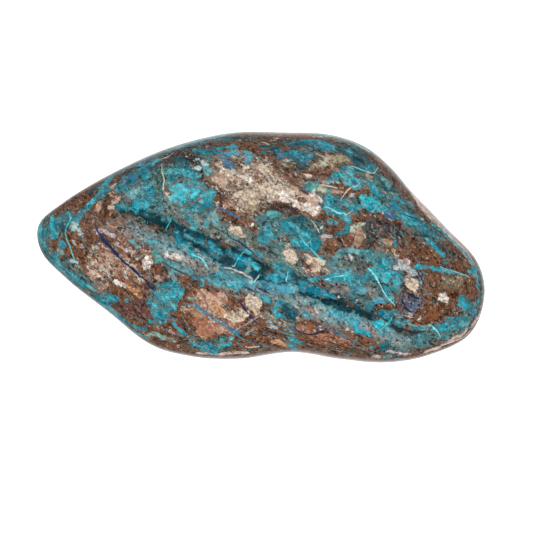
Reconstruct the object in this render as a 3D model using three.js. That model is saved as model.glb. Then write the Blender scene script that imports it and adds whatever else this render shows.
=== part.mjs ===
// A polished freeform of chrysocolla in brown breccia: one stone, ground smooth all over, with two
// long thumb grooves across its upper face and a small flat ground under it, on which it rests.
// Millimetres, +Z up. The origin is under the middle of the stone, on the surface that it stands on.
import * as THREE from "three";
import { mergeVertices } from "three/addons/utils/BufferGeometryUtils.js";

// ---- Driving dimensions ----

const LENGTH = 92; // along X
const WIDTH = 47.6; // along Y
const THICKNESS = 28; // from the flat underneath to the crown

const SPHERE_DETAIL = 21; // subdivisions of the icosahedron that the stone is shaped from
const EDGE_ROUNDNESS = 0.74; // 1 makes the side a plain ellipse, less makes it fuller
const FLAT_SHARE = 0.3; // how far out, from the middle to the edge, the ground flat reaches
const UNDERSIDE_FULLNESS = 1.9; // above 1 the underside leaves its flat more gently
const RIM_HEIGHT = 0.39 * THICKNESS; // mean height of the stone's widest line
const RIM_RISE = 0.1 * THICKNESS; // how far that line tilts
const RIM_LOW_SIDE = THREE.MathUtils.degToRad(40); // the direction in which it dips
const RIM_LATITUDE = -0.3; // the sphere's latitude at the rim: below 0 gives the top more facets

// The stone seen from above, counter-clockwise from its blunt right end: flat along the back,
// hollow at the right of the back and in the middle of the front, and pointed at the left.
const OUTLINE = [
  [46, -9.3],
  [44.4, -2.8],
  [38.6, 3.6],
  [31, 11.6],
  [26.7, 16.6],
  [21.6, 20.8],
  [14.5, 23.3],
  [5, 23.8],
  [-6.5, 23.6],
  [-19, 20.4],
  [-31, 14.9],
  [-41, 8.7],
  [-45.3, 4.6],
  [-44.8, -0.8],
  [-40, -6.1],
  [-31, -13.3],
  [-22, -20.2],
  [-13, -22.6],
  [-4, -22.9],
  [6.5, -21.6],
  [16, -23],
  [25.5, -23.8],
  [34.4, -22.3],
  [43, -17.8],
];

// The upper face: broad swells [x, y, radius, height] that lift or lower the crown.
const SWELLS = [
  [-40, 2, 15, -3.2], // falls away to the pointed end
  [-17, 11, 12, 1.2], // shoulder behind the long groove
  [12, 9, 16, 1.0], // the crown
  [34, -6, 11, -0.6], // dips towards the blunt end
  [-10, -15, 9, 0.5], // low swell before the long groove
  [16, -17, 8, -0.8], // falls to the front hollow
];

// A groove runs from one end to the other. Its back wall is steep and its front wall is shallow.
const GROOVES = [
  { from: [-31, 6.6], to: [2.5, -5.6], depth: 2.5, backWall: 2.4, frontWall: 4.6, fade: 7 },
  { from: [9, -9.2], to: [33.5, -17.6], depth: 2.2, backWall: 2.2, frontWall: 3.6, fade: 6 },
];

// ---- Shape ----

// The distance from the middle to the outline in any direction round the stone.
function makeOutlineRadius() {
  const points = OUTLINE.map(([x, y]) => new THREE.Vector3(x, y, 0));
  const curve = new THREE.CatmullRomCurve3(points, true, "centripetal");
  const samples = curve
    .getPoints(40 * OUTLINE.length)
    .map((p) => ({ angle: Math.atan2(p.y, p.x), radius: Math.hypot(p.x, p.y) }))
    .sort((a, b) => a.angle - b.angle);
  return (angle) => {
    let next = samples.findIndex((s) => s.angle >= angle);
    if (next < 0) next = 0;
    const before = samples[(next + samples.length - 1) % samples.length];
    const after = samples[next];
    const turn = 2 * Math.PI;
    const gap = (after.angle - before.angle + turn) % turn || 1;
    const share = ((angle - before.angle + turn) % turn) / gap;
    return THREE.MathUtils.lerp(before.radius, after.radius, Math.min(share, 1));
  };
}

// How deep a groove cuts at a point of the upper face.
function grooveDepth(groove, x, y) {
  const [x0, y0] = groove.from;
  const [x1, y1] = groove.to;
  const length = Math.hypot(x1 - x0, y1 - y0);
  const [ux, uy] = [(x1 - x0) / length, (y1 - y0) / length];
  const along = (x - x0) * ux + (y - y0) * uy;
  const across = (y - y0) * ux - (x - x0) * uy;
  const past = Math.max(-along, along - length, 0);
  const wall = across > 0 ? groove.backWall : groove.frontWall;
  return groove.depth * Math.exp(-((across / wall) ** 2) - (past / groove.fade) ** 2);
}

// The height of the crown over a point, before the edge is rounded down to the rim.
function crownHeight(x, y) {
  const swell = ([sx, sy, radius, height]) =>
    height * Math.exp(-((x - sx) ** 2 + (y - sy) ** 2) / radius ** 2);
  const lift = SWELLS.reduce((sum, s) => sum + swell(s), 0);
  const cut = GROOVES.reduce((sum, g) => sum + grooveDepth(g, x, y), 0);
  return THICKNESS + lift - cut;
}

// The height of the widest line of the stone, in a direction round it.
function rimHeight(angle) {
  return RIM_HEIGHT - RIM_RISE * Math.cos(angle - RIM_LOW_SIDE);
}

// Moves a point of the unit sphere to the stone's surface.
function shapePoint(point, outlineRadius) {
  const angle = Math.atan2(point.y, point.x);
  const latitude = Math.asin(THREE.MathUtils.clamp(point.z, -1, 1));
  const above = latitude >= RIM_LATITUDE;
  const quarter = Math.PI / 2;
  const span = above ? quarter - RIM_LATITUDE : quarter + RIM_LATITUDE;
  const turn = Math.abs((latitude - RIM_LATITUDE) / span) * quarter;
  const out = Math.max(Math.cos(turn), 0) ** EDGE_ROUNDNESS;
  const up = Math.sin(turn) ** EDGE_ROUNDNESS;
  const x = outlineRadius(angle) * out * Math.cos(angle);
  const y = outlineRadius(angle) * out * Math.sin(angle);
  const rim = rimHeight(angle);
  if (above) return point.set(x, y, rim + (crownHeight(x, y) - rim) * up);
  const pastFlat = Math.max((out - FLAT_SHARE) / (1 - FLAT_SHARE), 0) ** UNDERSIDE_FULLNESS;
  return point.set(x, y, rim * (1 - Math.sqrt(Math.max(1 - pastFlat ** 2, 0))));
}

function makeStoneGeometry() {
  const sphere = new THREE.IcosahedronGeometry(1, SPHERE_DETAIL);
  sphere.deleteAttribute("normal");
  sphere.deleteAttribute("uv");
  const geometry = mergeVertices(sphere, 1e-4);
  const positions = geometry.getAttribute("position");
  const outlineRadius = makeOutlineRadius();
  const point = new THREE.Vector3();
  for (let i = 0; i < positions.count; i++) {
    shapePoint(point.fromBufferAttribute(positions, i), outlineRadius);
    positions.setXYZ(i, point.x, point.y, point.z);
  }
  return fitToSize(geometry);
}

// Centres the stone over the origin and brings it to its driving dimensions.
function fitToSize(geometry) {
  geometry.computeBoundingBox();
  const size = geometry.boundingBox.getSize(new THREE.Vector3());
  const centre = geometry.boundingBox.getCenter(new THREE.Vector3());
  geometry.translate(-centre.x, -centre.y, 0);
  geometry.scale(LENGTH / size.x, WIDTH / size.y, THICKNESS / size.z);
  geometry.computeVertexNormals();
  return geometry;
}

function makeStone() {
  const material = new THREE.MeshStandardMaterial({
    color: 0x4f7077,
    roughness: 0.15,
    metalness: 0,
  });
  const stone = new THREE.Mesh(makeStoneGeometry(), material);
  stone.name = "chrysocolla_stone";
  return stone;
}

const part = new THREE.Group();
part.add(makeStone());

export default part;
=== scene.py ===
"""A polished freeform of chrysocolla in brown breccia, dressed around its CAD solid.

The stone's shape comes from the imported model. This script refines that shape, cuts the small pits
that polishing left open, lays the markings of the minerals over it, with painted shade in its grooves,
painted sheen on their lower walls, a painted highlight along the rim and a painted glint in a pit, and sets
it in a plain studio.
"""

import logging
import math
import random
from dataclasses import dataclass
from enum import Enum

import bmesh
import bpy
import numpy as np
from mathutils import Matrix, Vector, noise
from mathutils.bvhtree import BVHTree


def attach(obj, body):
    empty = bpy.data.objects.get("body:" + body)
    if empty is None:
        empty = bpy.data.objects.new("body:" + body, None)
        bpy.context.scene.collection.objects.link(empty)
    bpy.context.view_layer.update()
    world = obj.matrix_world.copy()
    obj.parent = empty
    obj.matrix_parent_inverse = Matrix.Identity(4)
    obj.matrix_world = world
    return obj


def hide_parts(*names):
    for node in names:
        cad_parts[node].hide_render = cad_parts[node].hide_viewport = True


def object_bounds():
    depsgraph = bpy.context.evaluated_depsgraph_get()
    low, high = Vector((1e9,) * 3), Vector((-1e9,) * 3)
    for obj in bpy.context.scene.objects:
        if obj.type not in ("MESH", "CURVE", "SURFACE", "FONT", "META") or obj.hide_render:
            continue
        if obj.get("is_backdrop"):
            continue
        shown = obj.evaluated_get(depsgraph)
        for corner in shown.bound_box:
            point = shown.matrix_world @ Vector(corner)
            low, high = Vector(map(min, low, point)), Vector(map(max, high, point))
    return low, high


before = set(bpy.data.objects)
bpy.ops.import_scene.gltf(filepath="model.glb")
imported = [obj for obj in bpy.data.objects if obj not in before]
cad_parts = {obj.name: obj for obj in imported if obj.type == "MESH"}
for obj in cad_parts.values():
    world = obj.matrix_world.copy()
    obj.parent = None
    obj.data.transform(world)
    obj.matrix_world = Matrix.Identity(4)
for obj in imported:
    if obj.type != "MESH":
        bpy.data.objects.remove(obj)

MM = 0.001  # metres in a millimetre
FAR = 50.0  # millimetres: further than any marking reaches
TINY = 1e-9  # keeps a division by a length from failing where the length is 0
STONE_NODE = "chrysocolla_stone"

log = logging.getLogger("chrysocolla")

Tree = bpy.types.NodeTree
Socket = bpy.types.NodeSocket


# ---- Colours ----


def linear(hex_colour: str) -> tuple[float, float, float, float]:
    """Turns an sRGB hex colour into linear light.

    Args:
        hex_colour: six hex digits with a leading "#".

    Returns:
        Red, green, blue and an alpha of 1, as Blender's sockets want them.
    """
    shares = [int(hex_colour[i : i + 2], 16) / 255 for i in (1, 3, 5)]
    red, green, blue = (s / 12.92 if s <= 0.04045 else ((s + 0.055) / 1.055) ** 2.4 for s in shares)
    return red, green, blue, 1.0


class Tint(Enum):
    """The colours of the stone's minerals, some of them also laid as painted shade, sheen and glints: (hex,
    how grainy the mineral looks, from 0 to 1).
    """

    # Iron-stained matrix, from sandy to nearly black.
    BROWN = ("#67432d", 0.25)
    ORANGE_BROWN = ("#7a4826", 0.15)
    RED_BROWN = ("#633a2a", 0.15)
    MAROON = ("#5e3b33", 0.05)
    GREY_BROWN = ("#6a5443", 0.3)
    ROSE_GREY = ("#8a6f61", 0.35)
    DARK_SPECK = ("#4a3227", 0.4)
    # Also laid as painted shade at the end of the short groove.
    DUSK_AND_SHADE = ("#3d3b37", 0.45)
    SLATE = ("#434345", 0.4)
    SLATE_BLUE = ("#384d69", 0.45)
    # Near black; also laid as painted shade along the floors of both grooves.
    NIGHT_AND_SHADE = ("#1a2022", 0.2)
    # Matrix that is full of pale quartz grains.
    CREAM_GRAIN = ("#7f6a57", 0.95)
    OLIVE_GRAIN = ("#7d7158", 0.7)
    PINK_GRAIN = ("#855a45", 0.85)
    SALMON_GRAIN = ("#945c41", 0.6)
    ICE_GRAIN = ("#7b8a88", 0.8)
    RIND = ("#86705f", 0.4)
    # Matrix that copper has stained.
    TEAL_FIELD = ("#3b6f74", 0.2)
    SEA_FIELD = ("#3d6d6e", 0.25)
    GREEN_TEAL = ("#43736a", 0.25)
    GREY_TEAL = ("#627975", 0.35)
    # A grey-blue stain, also laid as painted sheen on the grooves' lower walls and on the upper left
    # shoulder.
    GREY_BLUE_STAIN_AND_SHEEN = ("#6f8f94", 0.3)
    # Dove grey; also laid as painted sheen on the long groove's lower wall.
    DOVE_AND_SHEEN = ("#7b746c", 0.3)
    TEAL_BROWN = ("#526a63", 0.3)
    DARK_TEAL = ("#25525a", 0.3)
    # Clasts of quartz and feldspar.
    CREAM = ("#d0c0aa", 0.0)
    # Shell white; also laid once as a painted glint in a pit of the short groove.
    SHELL_AND_GLINT = ("#e0d6cb", 0.0)
    PINK_CREAM = ("#bd9a86", 0.0)
    OLIVE_CREAM = ("#aaa184", 0.0)
    PALE_GREEN = ("#b1bba4", 0.0)
    PEACH = ("#c59772", 0.0)
    SALMON = ("#ab755d", 0.0)
    TAN = ("#ab8f78", 0.0)
    ROSE = ("#b08c80", 0.0)
    PALE_CYAN = ("#9fbcb3", 0.0)
    SEA_MIST = ("#80a69b", 0.0)
    ICE = ("#b4c3c4", 0.0)
    LILAC = ("#c3babf", 0.0)
    # The pale band along the rim: the stone's paler skin, with a painted reflection of the white table over
    # it.
    PALE_SKIN_AND_RIM_SHEEN = ("#c9b8ae", 0.0)
    # Chrysocolla, from its palest to its deepest.
    BRIGHT_CYAN = ("#27b5c4", 0.0)
    CYAN = ("#2299ab", 0.0)
    BLUE_CYAN = ("#479bb0", 0.0)
    PALE_TEAL = ("#699da1", 0.0)
    SEA_GREEN = ("#3d9089", 0.0)
    DUSTY_TEAL = ("#4c757c", 0.0)
    TEAL = ("#1b7d8d", 0.0)
    VIVID = ("#1088a6", 0.0)
    DEEP_BLUE = ("#1f6c8a", 0.0)
    DENIM = ("#2f5580", 0.0)
    DEEP_TEAL = ("#124f5c", 0.0)
    GROOVE_BLUE = ("#04809a", 0.0)
    GROOVE_TEAL = ("#0a7080", 0.0)
    # Very dark teal, mostly laid as painted shade along the floors of the grooves.
    PETROL_AND_SHADE = ("#02363f", 0.0)
    GREEN_DARK = ("#3f4a40", 0.0)
    # Fillings of the fine veins.
    CYAN_LINE = ("#4dc2c6", 0.0)
    WHITE_CYAN = ("#94d8d8", 0.0)
    PALE_VEIN = ("#cfc3b4", 0.0)
    ASH = ("#9c978b", 0.0)
    BROWN_LINE = ("#6a5244", 0.0)
    DARK_VEIN = ("#3a2e29", 0.0)
    NAVY = ("#17294d", 0.0)
    INK = ("#1f2836", 0.0)
    BLUE = ("#2f658a", 0.0)

    @property
    def colour(self) -> tuple[float, float, float, float]:
        """The mineral's linear colour."""
        return linear(self.value[0])

    @property
    def grain(self) -> float:
        """How grainy the mineral looks."""
        return self.value[1]


class Layer(Enum):
    """The layers of markings, each one over the last."""

    WASH = "wash"  # soft stains in the matrix, with painted shade in the grooves and painted sheen on their walls and the shoulder
    CLAST = "clast"  # pale broken pieces, and the painted pale highlight along the rim
    COPPER = "copper"  # masses of chrysocolla, and painted shade along the grooves
    VEIN = "vein"  # fine veins, lenses and specks, and one painted glint in a pit


Point = tuple[float, float, float]  # x, y and half-width in millimetres, as seen from above
Line = tuple[Tint, *tuple[Point, ...]]  # one patch or vein: its mineral and the points it runs through
Laid = tuple[Tint, np.ndarray]  # the same on the stone: rows of x, y, z and half-width

# The markings of the upper face. Each place and width was picked one by one. A program then scaled them to
# millimetres and set them out as rows. A later one covers an earlier one of its layer.
# The wash layer: stains, with painted shade along the groove floors and painted sheen on their lower walls
# and the upper left shoulder.
STAINS_WITH_SHADE_AND_SHEEN: tuple[Line, ...] = (
    # Broad stains.
    (Tint.TEAL_FIELD, (-29.5, 12.1, 1.6), (-26, 13.8, 2.7), (-20.8, 15, 3.1), (-15.7, 16.2, 2.3),
     (-11.6, 17.9, 1.6)),
    (Tint.TEAL_FIELD, (5.4, 21.6, 1.2), (11.6, 20.3, 1.6), (17.2, 22, 1.2), (22.7, 19.5, 1.6)),
    (Tint.GREEN_TEAL, (16.1, 15.4, 1.6), (21.9, 13.4, 2.5), (27.4, 10.5, 1.8)),
    (Tint.SEA_FIELD, (12.4, 9.7, 1.4), (18.2, 8.8, 1.6), (23.9, 10.1, 1.8), (28.9, 8.2, 1.8),
     (32.6, 5.3, 1.6), (36.7, 2.3, 1.2)),
    (Tint.TEAL_FIELD, (-0.7, 5.1, 1.8), (4.8, 3.9, 2.7), (10.4, 2.3, 3.1)),
    (Tint.SEA_FIELD, (3, -1, 2.1), (5.9, -4.3, 2.5), (8.7, -7.6, 2.5)),
    (Tint.TEAL_FIELD, (14.5, -4.7, 2.7), (19.8, -2.7, 2.5), (25.4, -3.1, 2.3), (27.4, -7.8, 2.3),
     (21.5, -9.2, 2.9), (16.1, -7.6, 2.5)),
    (Tint.TEAL_FIELD, (-29.9, 8.6, 1), (-25, 6.8, 1.6), (-19.8, 4.9, 1.8), (-14.7, 2.1, 2.3),
     (-9.6, -0.4, 2.3), (-4.4, -2.9, 2.5), (0.7, -5.1, 2.7), (4.8, -7.4, 2.3)),
    (Tint.GREY_TEAL, (-20.8, 8.8, 1.6), (-15.7, 7.2, 2.1), (-10.6, 4.7, 2.1), (-5.2, 1.8, 2.1)),
    # Painted sheen: grey-blue on the ridge under the long groove, where the polish mirrors the light.
    (Tint.GREY_BLUE_STAIN_AND_SHEEN, (-27.4, 3.9, 1.2), (-21.3, 0.6, 1.8), (-15.7, -1.6, 2.1), (-10.6, -4.5, 2.5),
     (-5.2, -6.8, 2.5), (0.1, -8.6, 2.3)),
    (Tint.SEA_FIELD, (-45.1, 1.8, 1.4), (-43, 4.5, 1.6), (-40.2, 6.8, 1.2)),
    (Tint.TEAL_FIELD, (-19.4, -8.4, 2.5), (-20.4, -11.3, 2.5), (-21.3, -14.6, 1.2)),
    (Tint.DARK_TEAL, (7.9, -8.4, 1.8), (13, -10.5, 2.1), (18.2, -12.5, 2.1), (23.3, -14.6, 1.8),
     (26.8, -15.4, 1.4)),
    # Painted sheen: grey-blue on the lower wall of the short groove and below it.
    (Tint.GREY_BLUE_STAIN_AND_SHEEN, (1.7, -9.4, 1.6), (7.9, -11.9, 1.6), (14.1, -14.6, 1.6), (20.2, -16.6, 1.6),
     (26.4, -18.7, 2.1), (31.5, -19.5, 1.6)),
    (Tint.TEAL_FIELD, (26.8, -21.6, 1.4), (34.2, -18.5, 2.3), (39.7, -16.2, 2.3), (43.2, -13.4, 1.6),
     (45.3, -8.8, 0.8)),
    (Tint.TEAL_FIELD, (30.1, 5.1, 1.6), (34.6, 1.4, 1.6), (38.7, -2.3, 1.4)),
    (Tint.TEAL_BROWN, (2.8, -13.4, 2.1), (5.9, -15.4, 1.6), (6.3, -20.3, 1.2)),
    (Tint.SEA_FIELD, (-40.2, -3.1, 0.8), (-36.5, -6.4, 0.8), (-31.5, -10.5, 1.2)),
    (Tint.TEAL_BROWN, (-13.5, -19.9, 1.8), (-7.3, -20.7, 1.4)),
    # Rim and the upper part of the sides.
    (Tint.SEA_FIELD, (-45.9, 2.3, 2.1), (-45.1, 5.5, 2.1), (-42.6, 8.4, 1.8)),
    (Tint.GREY_BROWN, (-41.4, 9.2, 1.8), (-36.5, 12.1, 1.8), (-32.4, 14.4, 1.8)),
    (Tint.TEAL_FIELD, (-30.7, 15, 2.1), (-26, 17.3, 2.1), (-20.8, 19.3, 2.1)),
    (Tint.DARK_TEAL, (-19.6, 19.7, 2.1), (-12.6, 22, 2.1), (-4.8, 23.6, 2.1)),
    (Tint.BROWN, (-3.2, 23.8, 2.1), (5.4, 24.2, 2.1)),
    (Tint.RIND, (6.3, 24.2, 1.4), (11.6, 24.2, 1.4), (15.7, 23.8, 1.4)),
    (Tint.ROSE_GREY, (25.4, 18.5, 1.6), (27.6, 16, 1.6), (29.3, 13.6, 1.6)),
    (Tint.TEAL_FIELD, (44.9, -5.5, 1.8), (46.3, -9.2, 2.1), (46.1, -12.5, 2.1)),
    (Tint.TEAL_BROWN, (28.4, -23.8, 2.1), (24.8, -24, 1.8)),
    (Tint.GREY_BROWN, (-20.2, -21.2, 1.6), (-23.3, -19.3, 1.6), (-25.6, -17.7, 1.6)),
    (Tint.TEAL_FIELD, (-27.2, -16.4, 1.4), (-31.1, -13.4, 1.4), (-35.2, -9.9, 1.4)),
    (Tint.SEA_FIELD, (-37.7, -7.8, 2.1), (-41.4, -4.5, 2.1), (-44.1, -1.8, 2.1)),
    # Upper left shoulder.
    (Tint.TEAL_FIELD, (-27.8, 14.2, 1.6), (-25, 12.9, 2.9), (-22.9, 10.5, 3.3), (-22.9, 8.4, 2.9)),
    (Tint.TEAL_FIELD, (-17.6, 15, 1.6), (-14.7, 12.9, 2.1), (-12.6, 9.7, 2.5), (-11.4, 7.2, 2.1)),
    # Painted sheen: grey-blue on the upper left shoulder.
    (Tint.GREY_BLUE_STAIN_AND_SHEEN, (-27, 10.7, 1.4), (-25, 11.5, 1.8), (-22.9, 12.1, 1.4)),
    (Tint.GREEN_TEAL, (-20.8, 15.8, 1.4), (-19.8, 13.8, 1.6), (-21.3, 12.1, 1.2)),
    (Tint.NIGHT_AND_SHADE, (-28.7, 15, 0.4), (-26.6, 15.8, 0.4), (-24.5, 16, 0.33), (-22.5, 16.2, 0.33),
     (-21.3, 16.8, 0.4)),
    (Tint.NIGHT_AND_SHADE, (-20.2, 17.3, 0.5), (-18.6, 18.5, 0.5)),
    (Tint.NIGHT_AND_SHADE, (-16.7, 19.1, 0.6), (-14.9, 18.1, 1), (-13.5, 17.3, 1), (-12.4, 15.8, 1), (-11.4, 14, 0.8),
     (-10.2, 11.7, 0.6)),
    (Tint.PINK_GRAIN, (-30.9, 11.7, 1), (-29.7, 9.7, 1), (-30.7, 8, 0.8)),
    # Cream grain field, west.
    (Tint.CREAM_GRAIN, (-9.3, 17.9, 1.2), (-7.3, 15.8, 2.1), (-4.4, 14.6, 3.3), (-1.1, 13.4, 3.7),
     (0.1, 11.3, 2.5)),
    (Tint.CREAM_GRAIN, (-9.8, 14.6, 1.6), (-7.7, 12.9, 1.6)),
    (Tint.ICE_GRAIN, (-7.9, 18.3, 0.8), (-5.2, 19.1, 1), (-2.4, 18.5, 1)),
    (Tint.DARK_SPECK, (-10, 12.3, 0.8), (-8.5, 11.1, 1), (-8.1, 9.9, 0.8)),
    (Tint.DARK_SPECK, (-6.5, 12.9, 0.6), (-4.8, 12.5, 0.6), (-3.2, 12.9, 0.6)),
    (Tint.OLIVE_GRAIN, (-3.2, 10.5, 1.8), (-2, 8.4, 1.8), (0.1, 8.4, 1)),
    # Back edge, middle and east.
    (Tint.DARK_TEAL, (3, 19.3, 1), (5.9, 19.1, 1), (8.7, 18.3, 1.2), (10.8, 18.5, 0.8)),
    (Tint.PINK_GRAIN, (0.5, 16.6, 1.6), (0.1, 14.2, 1.6)),
    (Tint.CREAM_GRAIN, (2.2, 13.4, 1.8), (3.8, 11.7, 1.6)),
    (Tint.OLIVE_GRAIN, (5, 17.3, 1.2), (6.7, 16.8, 0.8)),
    (Tint.OLIVE_GRAIN, (13.7, 18.3, 1), (16.1, 17.9, 1.2), (18.2, 17.5, 0.8)),
    (Tint.OLIVE_GRAIN, (10.4, 16.6, 0.8), (12.4, 16.8, 0.6)),
    (Tint.NIGHT_AND_SHADE, (7.3, 11.1, 0.5), (9.3, 11.1, 0.6)),
    (Tint.NIGHT_AND_SHADE, (0.5, 8.6, 0.8), (2.8, 8, 1), (5.4, 8.2, 0.8), (7.3, 7, 0.6)),
    (Tint.RED_BROWN, (18.6, 14.4, 0.7), (20.4, 14.2, 0.8)),
    (Tint.ORANGE_BROWN, (18.8, 11.3, 0.6), (20.6, 11.7, 0.7), (22.3, 12.3, 0.7)),
    # Pointed end.
    (Tint.ROSE_GREY, (-32.6, 4.3, 0.9), (-29.9, 4.3, 1), (-28.2, 3.1, 0.7), (-26.2, 2.1, 0.6)),
    (Tint.PINK_GRAIN, (-34.4, -3.1, 1.2), (-31.7, -1.8, 1.4), (-29.5, -3.1, 1.6), (-32.4, -5.1, 1.6),
     (-35, -5.3, 1)),
    (Tint.PINK_GRAIN, (-28, -0.4, 1.4), (-26, -2.3, 1.2), (-22.9, -0.6, 1)),
    (Tint.PINK_GRAIN, (-33.8, -8.2, 0.8), (-31.7, -7.8, 0.8)),
    (Tint.GREY_BLUE_STAIN_AND_SHEEN, (-10.2, 6.6, 1.2), (-11.4, 4.7, 1)),
    (Tint.ORANGE_BROWN, (-2.8, 5.3, 0.8), (-1.1, 3.1, 0.8)),
    (Tint.TEAL_BROWN, (-3.2, 2.9, 0.8), (-1.5, 0.8, 1)),
    # Long groove, lower wall: painted sheen in grey-blue and dove grey, among teal, red-brown and grey-teal
    # stains.
    (Tint.GREY_BLUE_STAIN_AND_SHEEN, (-22.9, 1.8, 0.8), (-20, 0.6, 1.2), (-16.7, -0.2, 1.2), (-13.5, -2.3, 1)),
    (Tint.DOVE_AND_SHEEN, (-14.7, -3.1, 1.2), (-11.4, -4.5, 1.2)),
    (Tint.TEAL_FIELD, (-9.8, -5.8, 1.2), (-6.5, -6.8, 1.4), (-2.8, -7.6, 1.2)),
    (Tint.RED_BROWN, (-21.5, -4.7, 0.8), (-20, -6.2, 0.8)),
    (Tint.GREY_TEAL, (-19.2, -3.7, 1), (-16.3, -4.7, 1)),
    # Middle of the upper face.
    (Tint.TEAL_FIELD, (0.1, 1.8, 1.2), (2.2, 3.9, 1.2), (5.4, 3.9, 1.6), (8.7, 3.1, 1.8), (10.8, 0.6, 1.4)),
    (Tint.GREY_TEAL, (0.1, -1.4, 1.2), (3, -2.7, 1.6), (6.3, -4.3, 1.4), (8.3, -5.5, 1)),
    (Tint.BROWN, (3.6, 1.4, 0.5), (4.8, 2.1, 0.4)),
    (Tint.BROWN, (13.2, 3.1, 1), (13.7, 0.6, 1.2), (16.1, 0.2, 1.2), (15.3, 1.8, 1)),
    (Tint.PINK_GRAIN, (9.6, -4.7, 0.8), (13.2, -5.5, 0.7)),
    (Tint.PINK_GRAIN, (19, 2.3, 1)),
    (Tint.GREY_TEAL, (15.7, -4.3, 1.2), (18.2, -4.1, 1.4)),
    (Tint.RED_BROWN, (16.9, -1.8, 0.5), (18.6, -2.3, 0.6)),
    (Tint.MAROON, (20.4, -3.7, 0.5), (21.9, -4.3, 0.7)),
    (Tint.SLATE, (21.9, 4.7, 1), (22.1, 1.4, 1)),
    (Tint.DOVE_AND_SHEEN, (14.9, -8.2, 1), (17.4, -8.8, 1)),
    # Blunt end.
    (Tint.SLATE, (23.1, 4.7, 1.4), (26, 3.9, 1.6), (27.6, 1.8, 1.2)),
    (Tint.NIGHT_AND_SHADE, (28, 4.3, 0.8), (29.3, 2.3, 0.8)),
    (Tint.NIGHT_AND_SHADE, (22.7, 2.7, 0.8), (22.3, 0.6, 0.6)),
    (Tint.BROWN, (32.6, -1, 1.4), (36.7, -1, 1.4), (40, -3.1, 1)),
    (Tint.NIGHT_AND_SHADE, (33.4, 2.3, 0.6), (35.4, 1, 0.6)),
    (Tint.NIGHT_AND_SHADE, (36.7, 0.2, 0.6), (38.7, -1, 0.6)),
    (Tint.SLATE_BLUE, (32.1, -6.2, 1)),
    (Tint.OLIVE_GRAIN, (38.1, -7, 1.2), (40.8, -7, 1)),
    (Tint.MAROON, (-29.5, -11.9, 1), (-27.4, -13.4, 1.6), (-25, -12.5, 2.1), (-24.1, -14.6, 1.4)),
    (Tint.NIGHT_AND_SHADE, (-12.8, -19.7, 0.6), (-10.2, -19.5, 0.6), (-8.1, -18.3, 0.6)),
    # Peach clasts.
    (Tint.SALMON_GRAIN, (-15.1, -13.4, 1), (-13, -14.6, 1.6), (-10.2, -11.7, 1.8), (-8.1, -10.9, 1.2)),
    (Tint.SALMON_GRAIN, (-10.2, -16.6, 1.8), (-6.9, -15.8, 1.6), (-5.2, -13.8, 1.6)),
    (Tint.BROWN, (-5.6, -10.5, 0.8), (-3.2, -10.5, 1)),
    # Front edge, middle.
    (Tint.RED_BROWN, (9.6, -16.6, 1.2), (12.4, -17.5, 1.8), (15.3, -17.9, 1.4)),
    (Tint.OLIVE_GRAIN, (2, -14.2, 0.6), (3.8, -15.2, 0.6), (5.4, -16, 0.4)),
    (Tint.BROWN, (18.2, -17.9, 1), (21.1, -19.5, 1)),
    # Painted sheen on the lower wall of the short groove.
    (Tint.GREY_BLUE_STAIN_AND_SHEEN, (8.7, -11.3, 0.8), (11.6, -12.1, 0.9), (14.5, -13.4, 0.9), (17.4, -14.6, 1),
     (20.6, -15.4, 0.8)),
    (Tint.ROSE_GREY, (9.6, -12.7, 0.5), (11.6, -13.6, 0.5)),
    # Painted shade: near black along the floor of the short groove.
    (Tint.NIGHT_AND_SHADE, (13.2, -9.9, 0.6), (18.2, -11.3, 1), (19.6, -12.5, 0.8), (21.5, -12.9, 0.7),
     (23.1, -14.2, 0.6), (25.2, -15, 0.5)),
    # Blunt end, front.
    (Tint.DOVE_AND_SHEEN, (21.7, -8.8, 1), (23.1, -10.1, 0.8)),
    (Tint.SLATE_BLUE, (29.3, -10.9, 1.2), (31.3, -11.5, 1.4), (30.1, -13.6, 1), (32.6, -10.9, 1)),
    (Tint.ORANGE_BROWN, (34.2, -11.3, 0.8), (36, -12.3, 1), (35, -14.2, 0.8)),
    (Tint.BROWN, (39.7, -10.9, 1.2), (42, -9.7, 1), (44.1, -10.1, 0.8)),
    (Tint.DARK_SPECK, (37.9, -13.8, 1), (40.4, -13.4, 0.8)),
    (Tint.ROSE_GREY, (22.3, -17, 0.6), (23.7, -18.1, 0.6)),
    # Painted sheen below the end of the short groove.
    (Tint.GREY_BLUE_STAIN_AND_SHEEN, (26, -17.9, 1), (27.6, -18.9, 1.2), (30.1, -19.5, 1)),
    (Tint.TEAL_BROWN, (27.2, -20.5, 0.8), (30.5, -20.5, 0.6)),
    # Painted shade along the end of the short groove.
    (Tint.NIGHT_AND_SHADE, (26.6, -16, 0.6), (28.9, -17.3, 0.6), (31.3, -17.7, 0.5)),
    (Tint.BROWN, (22.3, -19.5, 1), (23.5, -19.9, 0.8)),
    (Tint.BROWN, (30.9, -21.4, 0.5), (32.8, -21, 0.6)),
    # Third pass.
    (Tint.GREY_TEAL, (-12, 5.5, 1.4), (-8.9, 4.1, 1.6), (-5.2, 2.1, 1.6)),
    (Tint.CREAM_GRAIN, (-1.1, 17.9, 1.2), (1.7, 15, 1.4), (4.4, 12.5, 1.2)),
    (Tint.CREAM_GRAIN, (-6.1, 9.7, 1.4), (-3.2, 8.4, 1.4)),
    (Tint.PINK_GRAIN, (-33.6, -0.6, 1.6), (-29.1, -3.1, 1.8), (-25, -6, 1.6)),
    (Tint.CREAM_GRAIN, (-35.2, -3.5, 0.8), (-32.8, -4.3, 1), (-30.3, -5.1, 0.8)),
    (Tint.SALMON_GRAIN, (-13.5, -10.9, 1.4), (-10.6, -14.2, 2.1), (-8.1, -16.2, 1.6)),
    (Tint.SALMON_GRAIN, (-29.5, -6, 0.6), (-27.4, -7.6, 0.8)),
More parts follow.
